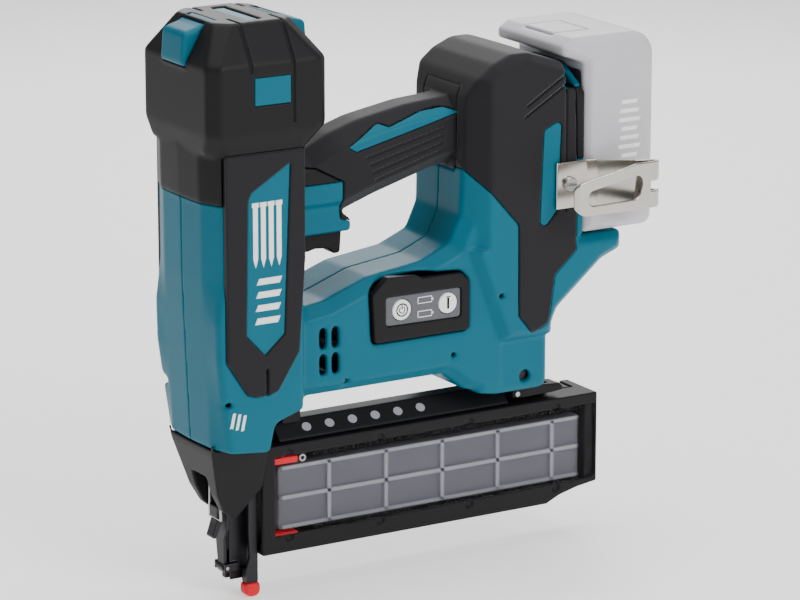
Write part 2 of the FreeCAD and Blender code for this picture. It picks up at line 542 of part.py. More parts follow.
# ---------------------------------------------------------------- magazine
low_line = [(194, MAG_BOTTOM - 1), (196, MAG_BOTTOM + 0.5), (204, MAG_BOTTOM + 4.1), (216, MAG_BOTTOM + 7.1),
            (MAG_END, MAG_BOTTOM + 9)]
low_step = prism_y(low_line + [(MAG_END + 5, MAG_BOTTOM + 9), (MAG_END + 5, MAG_BOTTOM - 1)], -30, 30)
floor_rise = prism_y(low_line[1:] + [(MAG_END, MAG_BOTTOM + 11.4), (216, MAG_BOTTOM + 9.6),
                                     (204, MAG_BOTTOM + 6.6),
                                     (196, MAG_BOTTOM + 3)], -MAG_HALF, 0.9)
rail_wall = box(MAG_FRONT, 222, 1.2, MAG_HALF, MAG_BOTTOM, MAG_TOP).cut(low_step)
rail_wall = rail_wall.cut(box(30, 216, 4.5, 40, 35, 80))
for i in range(RIB_COUNT):
    x = RIB_FIRST + i * RIB_STEP
    rail_wall = rail_wall.fuse(box(x - 1, x + 1, 4, MAG_HALF - 1, 30, 81))
top_rail = prism_x([(-12.5, MAG_TOP + 0.4), (-12.5, MAG_TOP + 1.6), (-4, 98), (6, 98), (13, 92),
                    (13, MAG_TOP - 0.1),
                    (1.2, MAG_TOP - 0.1), (1.2, MAG_TOP + 0.4)], 18, 176)
front_lug = box(22, 34, -9, 9, 97, 118)
rear_lug = prism_y([(163, 97), (163, 99.3), (190, 99.3, 3), (203, 97.6, 3), (207, MAG_TOP + 0.4),
                    (170, MAG_TOP + 0.4)],
                   1.2, 10)
parts["magazine_rail"] = fuse([rail_wall, top_rail, front_lug, rear_lug]).cut(outer)

cover = box(MAG_FRONT + 0.4, MAG_END, -MAG_HALF, -MAG_HALF + 3, MAG_BOTTOM, MAG_TOP)
cover = cover.fuse(box(MAG_FRONT + 0.4, MAG_END, -MAG_HALF, 0.9, MAG_TOP - 3, MAG_TOP))
cover = cover.fuse(box(MAG_FRONT + 0.4, MAG_END, -MAG_HALF, 0.9, MAG_BOTTOM, MAG_BOTTOM + 2.6))
cover = cover.fuse(box(MAG_END - 6, MAG_END, -MAG_HALF, MAG_HALF, MAG_BOTTOM, MAG_TOP)).cut(low_step)
cover = cover.fuse(floor_rise)
window_hole = prism_y([(WINDOW[0], WINDOW[2]), (WINDOW[1] + 6.4, WINDOW[2] + 2, 4),
                       (WINDOW[1] + 6.4, WINDOW[3]),
                       (WINDOW[0], WINDOW[3])], -20, -12)
cover = cover.cut(window_hole)
for i in range(4):
    x = 22.3 + i * 59.6
    cover = cover.cut(rod(2.6, (x, -20, 81.6), (x, -14.6, 81.6)))
    cover = cover.cut(rod(2.6, (x, -20, 33.2), (x, -14.6, 33.2)))
parts["magazine_cover"] = cover
parts["magazine_window"] = prism_y([(WINDOW[0] + 0.1, WINDOW[2] + 0.1), (WINDOW[1] + 6.3, WINDOW[2] + 2.1, 4),
                                    (WINDOW[1] + 6.3, WINDOW[3] - 0.1), (WINDOW[0] + 0.1, WINDOW[3] - 0.1)],
                                   -MAG_HALF + 0.2, -MAG_HALF + 2)
core = box(19, 221, -8.6, -1.2, 36, 73)
for i in range(RIB_COUNT):
    x = RIB_FIRST + i * RIB_STEP
    core = core.fuse(box(x - 1.2, x + 1.2, -9.8, -8.5, 36, 73))
core = core.fuse(box(19, 221, -9.8, -8.5, 53.3, 55.7))
core = core.fuse(box(19, 221, -9.8, -8.5, 71, 73)).fuse(box(19, 221, -9.8, -8.5, 36, 38))
core = core.fuse(box(217, 221, -1.3, 1.1, 36, 73))
parts["magazine_core"] = core

pusher = box(14.2, 30, -12.6, -3, 75, 79).fuse(box(14.2, 30, -12.6, -3, 30.5, 34.5))
pusher = pusher.fuse(box(14.2, 28, -3.2, -0.7, 75, 82)).fuse(box(14.2, 28, -3.2, -0.7, 28, 34.5))
pusher = pusher.fuse(box(14.2, 16.6, -0.8, 0.7, 28, 82))
parts["nail_pusher"] = pusher
roller = ring(2.1, 1.2, (33, -12.4, 77), (33, -4.0, 77))
parts["pusher_spring"] = roller.fuse(box(30, 33, -10, -6, 78.9, 79.1))

LATCH_PIVOT = (176.0, 93.0)
magazine_latch = prism_y([(172.6, 91, 1), (173, 96, 2), (178, 97.4, 1), (205, 95.5, 2), (209, 91.5, 1),
                          (200, 90.6),
                          (181, 90)], -13, -1.2)
magazine_latch = magazine_latch.cut(box(183, 189, -9.5, -4.5, 80, 110)).cut(box(193, 199, -9.5, -4.5, 80,
                                                                                110))
magazine_latch = magazine_latch.cut(rod(1.55, (LATCH_PIVOT[0], -20, LATCH_PIVOT[1]),
                                        (LATCH_PIVOT[0], 20, LATCH_PIVOT[1])))
parts["magazine_latch"] = magazine_latch
pin_block = prism_y([(172, MAG_TOP + 0.4), (172, 97.5), (180, 97.5), (180, MAG_TOP + 0.4)], 0.2, 12)
parts["magazine_rail"] = parts["magazine_rail"].cut(box(170.5, 185, -14, 0.0, MAG_TOP + 0.2, 100))
parts["magazine_rail"] = parts["magazine_rail"].fuse(pin_block).removeSplitter()
parts["magazine_rail"] = parts["magazine_rail"].cut(rod(1.5, (LATCH_PIVOT[0], -20, LATCH_PIVOT[1]),
                                                        (LATCH_PIVOT[0], 11, LATCH_PIVOT[1])))
parts["latch_pin"] = rod(1.5, (LATCH_PIVOT[0], -13.4, LATCH_PIVOT[1]), (LATCH_PIVOT[0], 10.9, LATCH_PIVOT[1]))

# ---------------------------------------------------------------- trigger
TRIGGER_PIVOT = (43.0, 209.5)
trigger = prism_y([(39.6, 206, 2), (39.6, 212.2, 2), (60, 209.5, 2), (63, 204, 3), (62, 190.4, 1.5),
                   (58, 190.2, 1),
                   (54.5, 193.6, 5), (46, 194.4, 6), (40.5, 193.0, 1.5), (38.6, 194, 1)], -5.8, 5.8)
trigger = trigger.cut(rod(1.56, (TRIGGER_PIVOT[0], -9, TRIGGER_PIVOT[1]),
                          (TRIGGER_PIVOT[0], 9, TRIGGER_PIVOT[1])))
trigger = trigger.cut(box(51, 58, -2.6, 2.6, 206, 214))
parts["trigger"] = trigger
parts["trigger_pin"] = rod(1.5, (TRIGGER_PIVOT[0], -9.0, TRIGGER_PIVOT[1]),
                           (TRIGGER_PIVOT[0], 9.0, TRIGGER_PIVOT[1]))
parts["trigger_spring"] = coil(1.7, 0.35, 4, (54.5, 0), 206.2, 218.8)
parts["trigger_switch"] = box(46, 63, -6, 6, 219, 234)
for name in ("housing_left", "housing_right"):
    parts[name] = parts[name].cut(parts["trigger_pin"])

# ---------------------------------------------------------------- control panel
PANEL_OUT = -(MOTOR_HALF + 1.6)
bezel = prism_y([(67, 170.5, 2), (77.3, 179.8, 2), (97, 178.2), (100, 176.3), (125.5, 176.2, 2),
                 (130.9, 171, 2),
                 (130.9, 142.6, 2), (68.5, 142.6, 2)], PANEL_OUT, -27)
panel_hole = prism_y([(75.8, 168.2, 2), (125.3, 168.0, 2), (125.3, 150.5, 2), (75.8, 151.2, 2)], -60, -29.6)
bezel = bezel.cut(panel_hole)
power_centre = (86.4, 159.8)
mode_centre = (116.7, 159.7)
for centre in (power_centre, mode_centre):
    bezel = bezel.cut(rod(6.3, (centre[0], -60, centre[1]), (centre[0], -20, centre[1])))
parts["control_bezel"] = bezel
panel = prism_y([(75.9, 168.1, 2), (125.2, 167.9, 2), (125.2, 150.6, 2), (75.9, 151.3, 2)], -31.6, -29.6)
for centre in (power_centre, mode_centre):
    panel = panel.cut(rod(6.3, (centre[0], -60, centre[1]), (centre[0], -20, centre[1])))
parts["control_panel"] = panel
parts["power_button"] = rod(6.0, (power_centre[0], -32.1, power_centre[1]),
                            (power_centre[0], -27.6, power_centre[1]))
parts["mode_button"] = rod(6.0, (mode_centre[0], -32.1, mode_centre[1]),
                           (mode_centre[0], -27.6, mode_centre[1]))

# ---------------------------------------------------------------- belt hook
HOOK_LOW = 206.5
HOOK_HIGH = 233.5
HOOK_T = 0.8                 # half thickness of the strip


def strip(points):
    """Bent strip standing on edge: plan points joined by a band of constant thickness."""
    segments = []
    for start, end in zip(points[:-1], points[1:]):
        along = (V(end[0], end[1], 0) - V(start[0], start[1], 0)).normalize()
        across = V(-along.y, along.x, 0) * HOOK_T
        corners = [(start[0] + across.x, start[1] + across.y), (end[0] + across.x, end[1] + across.y),
                   (end[0] - across.x, end[1] - across.y), (start[0] - across.x, start[1] - across.y)]
        segments.append(prism_z(corners, HOOK_LOW, HOOK_HIGH))
    for x, y in points[1:-1]:
        segments.append(rod(HOOK_T, (x, y, HOOK_LOW), (x, y, HOOK_HIGH)))
    return fuse(segments)


base_y = -(REAR_HALF + 0.85)
hook_plan = [(184.5, base_y), (205, base_y), (211, base_y - 2.4), (228, base_y - 15), (237, base_y - 18.5),
             (239.4, base_y - 21.2), (236, base_y - 23.6), (214, base_y - 23.8), (186, base_y - 22.4),
             (183, base_y - 20.6)]
hook = strip(hook_plan)
hook = hook.cut(rod(2.2, (HOOK_HOLE[0], base_y - 3, HOOK_HOLE[1]), (HOOK_HOLE[0], base_y + 3, HOOK_HOLE[1])))
limb_room = box(170, 243, base_y - 30, base_y - 19, 200, 240)
limb_outline = prism_y([(181.8, 206.4, 9), (243, 206.4), (243, 234), (224, 233.8, 12), (181.8, 225, 9)],
                       base_y - 30, base_y - 19)
limb_slot = prism_y([(191, 212, 3.5), (225, 213, 5), (229, 227.5, 4), (192, 220.5, 3)], base_y - 30,
                    base_y - 20)
end_notch = box(233, 242, base_y - 30, base_y - 15, 216.5, 222)
hook = hook.cut(limb_room.cut(limb_outline)).cut(limb_slot).cut(end_notch)
parts["belt_hook"] = hook
screw_y = base_y - 0.9
hook_screw = rod(1.95, (HOOK_HOLE[0], screw_y, HOOK_HOLE[1]), (HOOK_HOLE[0], -REAR_HALF + 9, HOOK_HOLE[1]))
hook_screw = hook_screw.fuse(rod(4, (HOOK_HOLE[0], screw_y - 2.6, HOOK_HOLE[1]),
                                 (HOOK_HOLE[0], screw_y, HOOK_HOLE[1])))
hook_screw = hook_screw.cut(box(188, 198, screw_y - 3, screw_y - 1.6, HOOK_HOLE[1] - 0.6, HOOK_HOLE[1] + 0.6))
parts["hook_screw"] = hook_screw

# ---------------------------------------------------------------- battery and its interface
parts["terminal_block"] = box(198.2, 209.4, -15.6, 15.6, 196.4,
                              263.6).cut(box(205, 212, -12.5, 12.5, 200, 255))
blades = [box(205, 212, y - 0.5, y + 0.5, 202, 226) for y in (-9, 0, 9)]
parts["terminal_block"] = parts["terminal_block"].fuse(blades)
rails = []
for side in (-1, 1):
    web = box(BATTERY_FACE, 208.3, min(side * 20, side * 23), max(side * 20, side * 23), 196, 272)
    flange = box(208, 210.4, min(side * 20, side * 26.5), max(side * 20, side * 26.5), 196, 272)
    rails.append(web.fuse(flange))
parts["battery_rails"] = Part.Compound(rails)
CASE_FRONT = 205.4
case_side = [(CASE_FRONT, BATTERY_BOTTOM), (BATTERY_END, BATTERY_BOTTOM, 6), (BATTERY_END, BATTERY_TOP, 15),
             (198, BATTERY_TOP), (191, 299), (191, 293.6), (CASE_FRONT, 288.6)]
case = slab(case_side, BATTERY_HALF, 0, 4)
recess = box(200, 213.6, -30, 30, BATTERY_BOTTOM - 1, 283)
lips = [box(CASE_FRONT, 207.6, min(s * 23.8, s * 30.1), max(s * 23.8, s * 30.1), BATTERY_BOTTOM + 8,
            272) for s in (-1, 1)]
cell_room = box(215.2, BATTERY_END - 1.6, -BATTERY_HALF + 4.6, BATTERY_HALF - 4.6, BATTERY_BOTTOM + 4, 290)
button_room = box(197, 221, -15.2, 15.2, 296, 310)
parts["battery_case"] = case.cut(recess).fuse(lips).cut(cell_room).cut(button_room)
cells = []
for column in range(2):
    for row in range(5):
        x = 224.1 + column * 17.9
        z = 203.4 + row * 18.9
        cells.append(rod(8.6, (x, -32.5, z), (x, 32.5, z)))
parts["battery_cells"] = Part.Compound(cells)
button = box(197.4, 220.6, -14.8, 14.8, 299.2, BATTERY_TOP)
button = button.makeFillet(1.0, [e for e in button.Edges if e.BoundBox.ZMin > BATTERY_TOP - 0.01])
parts["battery_button"] = button

# ---------------------------------------------------------------- write the parts
os.makedirs("parts", exist_ok=True)
for name, shape in parts.items():
    shape.exportStep("parts/" + name + ".step")
    solids = len(shape.Solids)
    print(name, "solids", solids, "valid", shape.isValid(), "volume", round(shape.Volume))
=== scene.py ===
import itertools
import json
import math

import bmesh
import bpy
import numpy as np
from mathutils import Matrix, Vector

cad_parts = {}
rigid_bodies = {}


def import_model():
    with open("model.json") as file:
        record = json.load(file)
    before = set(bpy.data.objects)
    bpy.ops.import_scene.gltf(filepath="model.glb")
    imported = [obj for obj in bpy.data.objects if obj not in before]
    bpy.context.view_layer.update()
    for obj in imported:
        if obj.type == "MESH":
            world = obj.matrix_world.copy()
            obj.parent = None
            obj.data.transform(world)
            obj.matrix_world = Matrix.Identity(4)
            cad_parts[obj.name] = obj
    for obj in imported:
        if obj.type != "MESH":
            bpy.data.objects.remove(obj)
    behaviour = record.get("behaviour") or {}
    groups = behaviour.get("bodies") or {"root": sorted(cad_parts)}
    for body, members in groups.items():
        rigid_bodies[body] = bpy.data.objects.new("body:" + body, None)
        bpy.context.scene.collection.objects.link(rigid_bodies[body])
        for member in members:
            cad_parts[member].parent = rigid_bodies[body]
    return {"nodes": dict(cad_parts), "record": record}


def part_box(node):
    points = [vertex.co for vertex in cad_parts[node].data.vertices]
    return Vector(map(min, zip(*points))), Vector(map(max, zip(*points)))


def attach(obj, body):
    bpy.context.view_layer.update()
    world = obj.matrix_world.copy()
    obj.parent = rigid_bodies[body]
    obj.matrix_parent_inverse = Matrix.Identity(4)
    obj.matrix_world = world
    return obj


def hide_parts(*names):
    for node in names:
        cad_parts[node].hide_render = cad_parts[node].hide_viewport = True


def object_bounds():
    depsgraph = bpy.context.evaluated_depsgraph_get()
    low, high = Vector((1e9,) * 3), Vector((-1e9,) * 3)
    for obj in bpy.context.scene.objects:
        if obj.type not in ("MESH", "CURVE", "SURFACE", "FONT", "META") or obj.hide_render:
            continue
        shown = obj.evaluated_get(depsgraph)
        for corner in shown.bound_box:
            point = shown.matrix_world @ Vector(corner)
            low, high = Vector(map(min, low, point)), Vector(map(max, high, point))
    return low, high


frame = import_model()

import openvdb
from mathutils import Matrix, Vector
from mathutils.bvhtree import BVHTree

bl_info = {
    "name": "Brad nailer",
    "version": (1, 0, 0),
    "blender": (4, 5, 0),
    "location": "3D View > Sidebar > Nailer",
    "description": "Moulded casing, magazine, nose and battery of a cordless brad nailer",
    "category": "Object",
}

MM = 0.001
CAD_BOX = [list(corner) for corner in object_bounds()]
NODES = frame["nodes"]
BODY_OF = {node: body for body, nodes in frame["record"]["behaviour"]["bodies"].items() for node in nodes}
SLOT_OF = {part["node"]: part["material_slot"] for part in frame["record"]["subparts"]}

# the camera stands at the tool's left front, a little above it
CAMERA_PLACE = (-1.087553, -1.960359, 0.756418)
CAMERA_TURN = math.radians(-31.303)
CAMERA_RISE = math.radians(14.666)
CAMERA_LENS = 188.05

BAND = 7.0                   # voxels on each side of a surface in which distances are known


def linear(hex_colour):
    """An sRGB hex colour as the linear RGBA that shaders take."""
    parts = [int(hex_colour[i:i + 2], 16) / 255 for i in (1, 3, 5)]
    return [c / 12.92 if c <= 0.04045 else ((c + 0.055) / 1.055) ** 2.4 for c in parts] + [1.0]


# ---------------------------------------------------------------- what a user may change
def colour(label, hex_colour, description):
    """A colour property with its default given as an sRGB hex value."""
    return bpy.props.FloatVectorProperty(name=label, description=description, subtype="COLOR", size=4,
                                         min=0.0, max=1.0, default=linear(hex_colour))


def length(label, default, description):
    """A length property in metres."""
    return bpy.props.FloatProperty(name=label, description=description, default=default, subtype="DISTANCE",
                                   unit="LENGTH", min=0.0, precision=5)


class NailerSizes(bpy.types.PropertyGroup):
    """Sizes of edges, gaps and repeated details."""
    voxel: length("Casing detail", 0.8 * MM, "Size of the smallest detail kept in the casing")
    body_softness: length("Body edge softness", 1.15 * MM, "How far the casing's outer edges are rounded")
    panel_softness: length("Panel edge softness", 0.45 * MM, "How far the edges of raised panels are rounded")
    parting_gap: length("Parting gap", 0.32 * MM, "Gap between neighbouring mouldings")
    plastic_sink: length("Plastic sink", 0.25 * MM, "How far hard plastic sits below the soft skins")
    groove_width: length("Groove width", 1.3 * MM, "Width of the grooves in the cap and the grip")
    groove_depth: length("Groove depth", 1.1 * MM, "Depth of the grooves in the cap and the grip")
    screw_head: length("Screw head radius", 3.1 * MM, "Radius of the casing screws' heads")
    mark_thickness: length("Mark thickness", 0.09 * MM, "Thickness of printed marks")
    knurl_width: length("Knurl width", 0.9 * MM, "Width of the ridges on the depth dial")


class NailerColours(bpy.types.PropertyGroup):
    """Colours of the materials."""
    casing: colour("Casing", "#045E72", "Blue-green casing plastic")
    rubber: colour("Rubber", "#1A191C", "Soft black skins and panels")
    black: colour("Black plastic", "#19181A", "Hard black mouldings")
    grey: colour("Grey plastic", "#5E5D65", "Magazine core and dial")
    pack: colour("Battery", "#BEBCC1", "Battery pack casing")
    rib: colour("Ribs", "#8F8E96", "Light grey ribs of the magazine core")
    red: colour("Red", "#D7202C", "Contact tip and brad follower")
    mark: colour("Marks", "#F2F3F3", "Printed marks")
    panel: colour("Panel", "#5D5E63", "Membrane of the control panel")
    steel: colour("Steel", "#B9B4AD", "Polished steel strip")
    floor: colour("Floor", "#F4F4F3", "Studio floor")


def sizes():
    """The size properties of the current scene."""
    return bpy.context.scene.nailer_sizes


def colours():
    """The colour properties of the current scene."""
    return bpy.context.scene.nailer_colours


# ---------------------------------------------------------------- materials
# sizes of what the materials show, in millimetres
MOTTLE = 14                  # slow change of tone across a moulding
FLOW_MARK = 22               # faint waves in clear mouldings
IRON_SHEET = 0.5             # thickness of the stator's sheets


def add_node(tree, kind, settings=None, values=None, links=None):
    """Adds a node to a tree, sets its attributes and input values, and links output sockets to its inputs."""
    node = tree.nodes.new(kind)
    for name, value in (settings or {}).items():
        setattr(node, name, value)
    for name, value in (values or {}).items():
        node.inputs[name].default_value = value
    for name, socket in (links or {}).items():
        tree.links.new(socket, node.inputs[name])
    return node


def new_material(name, values):
    """A material with one Principled shader: (material, tree, shader, object coordinates)."""
    material = bpy.data.materials.new(name)
    material.use_nodes = True
    tree = material.node_tree
    tree.nodes.clear()
    shader = add_node(tree, "ShaderNodeBsdfPrincipled", values=values)
    add_node(tree, "ShaderNodeOutputMaterial", links={"Surface": shader.outputs["BSDF"]})
    place = add_node(tree, "ShaderNodeTexCoord")
    return material, tree, shader, place.outputs["Object"]


def shade_of(rgba, factor):
    """The same colour made darker or lighter."""
    return [min(1.0, channel * factor) for channel in rgba[:3]] + [1.0]


def moulded(name, rgba, roughness, grain, relief, **values):
    """Moulded plastic or rubber: an even colour over a fine sparked texture, grain millimetres across."""
    material, tree, shader, place = new_material(name, {"Specular IOR Level": 0.14, **values})
    mottle = add_node(tree, "ShaderNodeTexNoise", values={"Scale": 1 / (MOTTLE * MM), "Detail": 3.0},
                      links={"Vector": place})
    tint = add_node(tree, "ShaderNodeMix", {"data_type": "RGBA"}, links={"Factor": mottle.outputs["Fac"]})
    tint.inputs[6].default_value = shade_of(rgba, 0.95)
    tint.inputs[7].default_value = shade_of(rgba, 1.05)
    tree.links.new(tint.outputs[2], shader.inputs["Base Color"])
    texture = add_node(tree, "ShaderNodeTexNoise", values={"Scale": 1 / (grain * MM), "Detail": 4.0,
                                                           "Roughness": 0.6}, links={"Vector": place})
    gloss = add_node(tree, "ShaderNodeMapRange", links={"Value": texture.outputs["Fac"]},
                     values={"To Min": roughness - 0.05, "To Max": roughness + 0.05})
    tree.links.new(gloss.outputs["Result"], shader.inputs["Roughness"])
    bump = add_node(tree, "ShaderNodeBump", values={"Strength": 0.5, "Distance": relief * MM},
                    links={"Height": texture.outputs["Fac"]})
    tree.links.new(bump.outputs["Normal"], shader.inputs["Normal"])
    return material


def metal(name, rgba, roughness, stretch, grain, relief):
    """Metal with marks of its making drawn out along one axis: stretch is the ratio per axis."""
    material, tree, shader, place = new_material(name, {"Metallic": 1.0})
    turn = add_node(tree, "ShaderNodeMapping", values={"Scale": stretch}, links={"Vector": place})
    lines = add_node(tree, "ShaderNodeTexNoise", values={"Scale": 1 / (grain * MM), "Detail": 3.0},
                     links={"Vector": turn.outputs["Vector"]})
    tint = add_node(tree, "ShaderNodeMix", {"data_type": "RGBA"}, links={"Factor": lines.outputs["Fac"]})
    tint.inputs[6].default_value = shade_of(rgba, 0.86)
    tint.inputs[7].default_value = shade_of(rgba, 1.1)
    tree.links.new(tint.outputs[2], shader.inputs["Base Color"])
    gloss = add_node(tree, "ShaderNodeMapRange", links={"Value": lines.outputs["Fac"]},
                     values={"To Min": roughness * 0.8, "To Max": roughness * 1.25})
    tree.links.new(gloss.outputs["Result"], shader.inputs["Roughness"])
    bump = add_node(tree, "ShaderNodeBump", values={"Strength": 0.3, "Distance": relief * MM},
                    links={"Height": lines.outputs["Fac"]})
    tree.links.new(bump.outputs["Normal"], shader.inputs["Normal"])
    return material


def clear_polycarbonate():
    """Clear moulded polycarbonate: glossy, with faint flow marks that only the highlights show."""
    material, tree, shader, place = new_material("Clear polycarbonate, moulded", {
        "Base Color": linear("#F4F7F8"), "Roughness": 0.03, "IOR": 1.2, "Alpha": 0.2,
        "Transmission Weight": 1.0})
    flow = add_node(tree, "ShaderNodeTexNoise", values={"Scale": 1 / (FLOW_MARK * MM), "Detail": 1.0},
                    links={"Vector": place})
    bump = add_node(tree, "ShaderNodeBump", values={"Strength": 0.12, "Distance": 0.3 * MM},
                    links={"Height": flow.outputs["Fac"]})
    tree.links.new(bump.outputs["Normal"], shader.inputs["Normal"])
    return material


def wound_iron():
    """Stacked iron sheets 0.5 mm thick with copper windings seen in the slots."""
    material, tree, shader, place = new_material("Laminated iron with copper windings", {"Metallic": 1.0,
                                                                                         "Roughness": 0.42})
    sheets = add_node(tree, "ShaderNodeTexWave", {"bands_direction": "X"},
                      {"Scale": 1 / (20 * IRON_SHEET * MM), "Distortion": 0.0}, {"Vector": place})
    ramp = add_node(tree, "ShaderNodeValToRGB", links={"Fac": sheets.outputs["Fac"]})
    ramp.color_ramp.elements[0].color = linear("#4A2A1A")
    ramp.color_ramp.elements[1].color = linear("#A9713E")
    tree.links.new(ramp.outputs["Color"], shader.inputs["Base Color"])
    return material


def make_materials():
    """Every finish, by material slot of the record."""
    tone = colours()
    # glass-filled nylon from a sparked mould: satin, a fine even grain, soft broad highlights
    casing = moulded("Glass-filled nylon, sparked mould", tone.casing, 0.42, 0.9, 0.035)
    # thermoplastic elastomer moulded over nylon: darker, duller, a coarser grain
    rubber = moulded("Thermoplastic elastomer, overmoulded", tone.rubber, 0.6, 0.8, 0.05,
                     **{"Sheen Weight": 0.12, "Sheen Roughness": 0.5})
    black = moulded("Black nylon, sparked mould", tone.black, 0.45, 0.9, 0.035)
    grey = moulded("Grey nylon, smooth mould", tone.grey, 0.38, 1.4, 0.02)
    pack = moulded("ABS, satin mould", tone.pack, 0.34, 1.2, 0.02)
    red_rubber = moulded("Soft red PVC, dipped", tone.red, 0.4, 1.0, 0.02)
    red = moulded("Red acetal, moulded", tone.red, 0.3, 1.2, 0.015)
    panel = moulded("Polyester membrane, printed", tone.panel, 0.28, 1.6, 0.01)
    white = moulded("White silicone key, printed", tone.mark, 0.35, 1.5, 0.01)
    board = moulded("Glass-epoxy board, lacquered", linear("#1C5A34"), 0.3, 2.0, 0.02)
    # spring-steel strip, tumbled and nickel plated: bright, with long soft reflections
    polished = metal("Nickel-plated spring steel strip", tone.steel, 0.2, (1, 1, 6), 1.6, 0.01)
    steel = metal("Carbon steel, ground", linear("#A8A7A5"), 0.32, (1, 1, 8), 0.9, 0.01)
    blackened = metal("Steel, black oxide", linear("#38373A"), 0.42, (3, 3, 1), 0.8, 0.02)
    alloy = metal("Aluminium alloy, die cast", linear("#B4B5B8"), 0.45, (1, 1, 1), 1.2, 0.03)
    return {
        "blue_green_plastic": casing, "black_rubber": rubber, "black_plastic": black, "grey_plastic": grey,
        "pale_pack": pack, "steel": steel, "polished_steel": polished, "black_steel": blackened,
        "alloy": alloy, "red_cap": red_rubber, "red_plastic": red, "label_grey": panel,
        "clear_window": clear_polycarbonate(),
        "white_button": white, "copper_iron": wound_iron(), "green_board": board,
    }


FINISH = {}


def finish_of(slot):
    """The material of a record slot, made on first use."""
    if not FINISH:
        FINISH.update(make_materials())
    return FINISH[slot]


def printed_ink(name, rgba):
    """Printed ink: flat colour, slightly glossy, a little uneven at the scale of the screen mesh."""
    known = bpy.data.materials.get(name)
    return known or moulded(name, rgba, 0.35, 0.5, 0.005)


# ---------------------------------------------------------------- meshes and pieces
def new_object(name, mesh, material, smooth=True):
    """Links a mesh as an object with one material."""
    mesh.materials.clear()
    mesh.materials.append(material)
    if smooth:
        mesh.shade_smooth()
    obj = bpy.data.objects.new(name, mesh)
    bpy.context.scene.collection.objects.link(obj)
    return obj


def settle(obj, body, nodes=()):
    """A finished piece rides on its body and stands for its CAD nodes."""
    if nodes:
        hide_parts(*nodes)
    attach(obj, body)


def node_triangles(names):
    """Vertices in millimetres and triangles of some CAD nodes, joined."""
    points = []
    triangles = []
    count = 0
    for name in names:
        mesh = NODES[name].data
        mesh.calc_loop_triangles()
        places = np.empty(len(mesh.vertices) * 3, np.float32)
        mesh.vertices.foreach_get("co", places)
        corners = np.empty(len(mesh.loop_triangles) * 3, np.int32)
        mesh.loop_triangles.foreach_get("vertices", corners)
        points.append(places.reshape(-1, 3) / MM)
        triangles.append(corners.reshape(-1, 3) + count)
        count += len(mesh.vertices)
    return np.concatenate(points), np.concatenate(triangles).astype(np.uint32)


class Lattice:
    """Regular sample points round some CAD nodes, spaced a voxel apart, in millimetres."""

    def __init__(self, names, voxel, margin=4.0):
        corners = [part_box(name) for name in names]
        low = np.min([c[0] for c in corners], axis=0) / MM - margin
        high = np.max([c[1] for c in corners], axis=0) / MM + margin
        self.voxel = voxel
        self.low = np.floor(low / voxel).astype(int)
        self.shape = tuple(int(n) for n in np.ceil(high / voxel).astype(int) - self.low + 1)

    def axes(self):
        """Coordinates of the samples along X, Y and Z, shaped to be combined."""
        grids = []
        for axis in range(3):
            values = (np.arange(self.shape[axis]) + self.low[axis]) * self.voxel
            grids.append(values.astype(np.float32).reshape([-1 if a == axis else 1 for a in range(3)]))
        return grids

    def read(self, grid):
        """A sparse grid's values at the samples."""
        field = np.empty(self.shape, np.float32)
        grid.copyToArray(field, ijk=tuple(int(n) for n in self.low))
        return field

    def distance(self, points, triangles, quads=None):
        """Signed distance to a closed surface, negative inside it."""
        transform = openvdb.createLinearTransform(voxelSize=self.voxel)
        grid = openvdb.FloatGrid.createLevelSetFromPolygons(
            points.astype(np.float32), triangles=triangles, quads=quads, transform=transform, halfWidth=BAND)
        return self.read(grid)

    def surface(self, field, adaptivity=0.0):
        """Points, triangles and quads of the surface where a field is zero."""
        grid = openvdb.FloatGrid(BAND * self.voxel)
        grid.copyFromArray(np.ascontiguousarray(field), ijk=tuple(int(n) for n in self.low))
        grid.transform = openvdb.createLinearTransform(voxelSize=self.voxel)
        return grid.convertToPolygons(isovalue=0.0, adaptivity=adaptivity)

    def normals(self, field, points):
        """Unit directions in which the field rises fastest, at some points."""
        spot = points / self.voxel - self.low
        base = np.clip(np.floor(spot).astype(int), 1, np.array(self.shape) - 3)
        share = spot - base
        result = np.zeros_like(points, dtype=float)
        for corner in itertools.product((0, 1), repeat=3):
            index = base + corner
            weight = np.prod(np.where(corner, share, 1 - share), axis=1)
            for axis in range(3):
                step = np.zeros(3, int)
                step[axis] = 1
                rise = field[tuple((index + step).T)] - field[tuple((index - step).T)]
                result[:, axis] += weight * rise
        return result / np.maximum(np.linalg.norm(result, axis=1, keepdims=True), 1e-9)


def blurred(field, sigma):
    """A field averaged over its neighbours, sigma in voxels: this rounds its edges."""
    reach = max(1, int(math.ceil(2.6 * sigma)))
    weights = np.exp(-0.5 * (np.arange(-reach, reach + 1) / sigma) ** 2)
    weights = (weights / weights.sum()).astype(np.float32)
    for axis in range(3):
        padding = [(reach, reach) if a == axis else (0, 0) for a in range(3)]
        padded = np.moveaxis(np.pad(field, padding, mode="edge"), axis, 0)
        size = field.shape[axis]
        total = weights[0] * padded[:size]
        for i in range(1, len(weights)):
            total += weights[i] * padded[i:i + size]
        field = np.moveaxis(total, 0, axis)
    return np.ascontiguousarray(field)


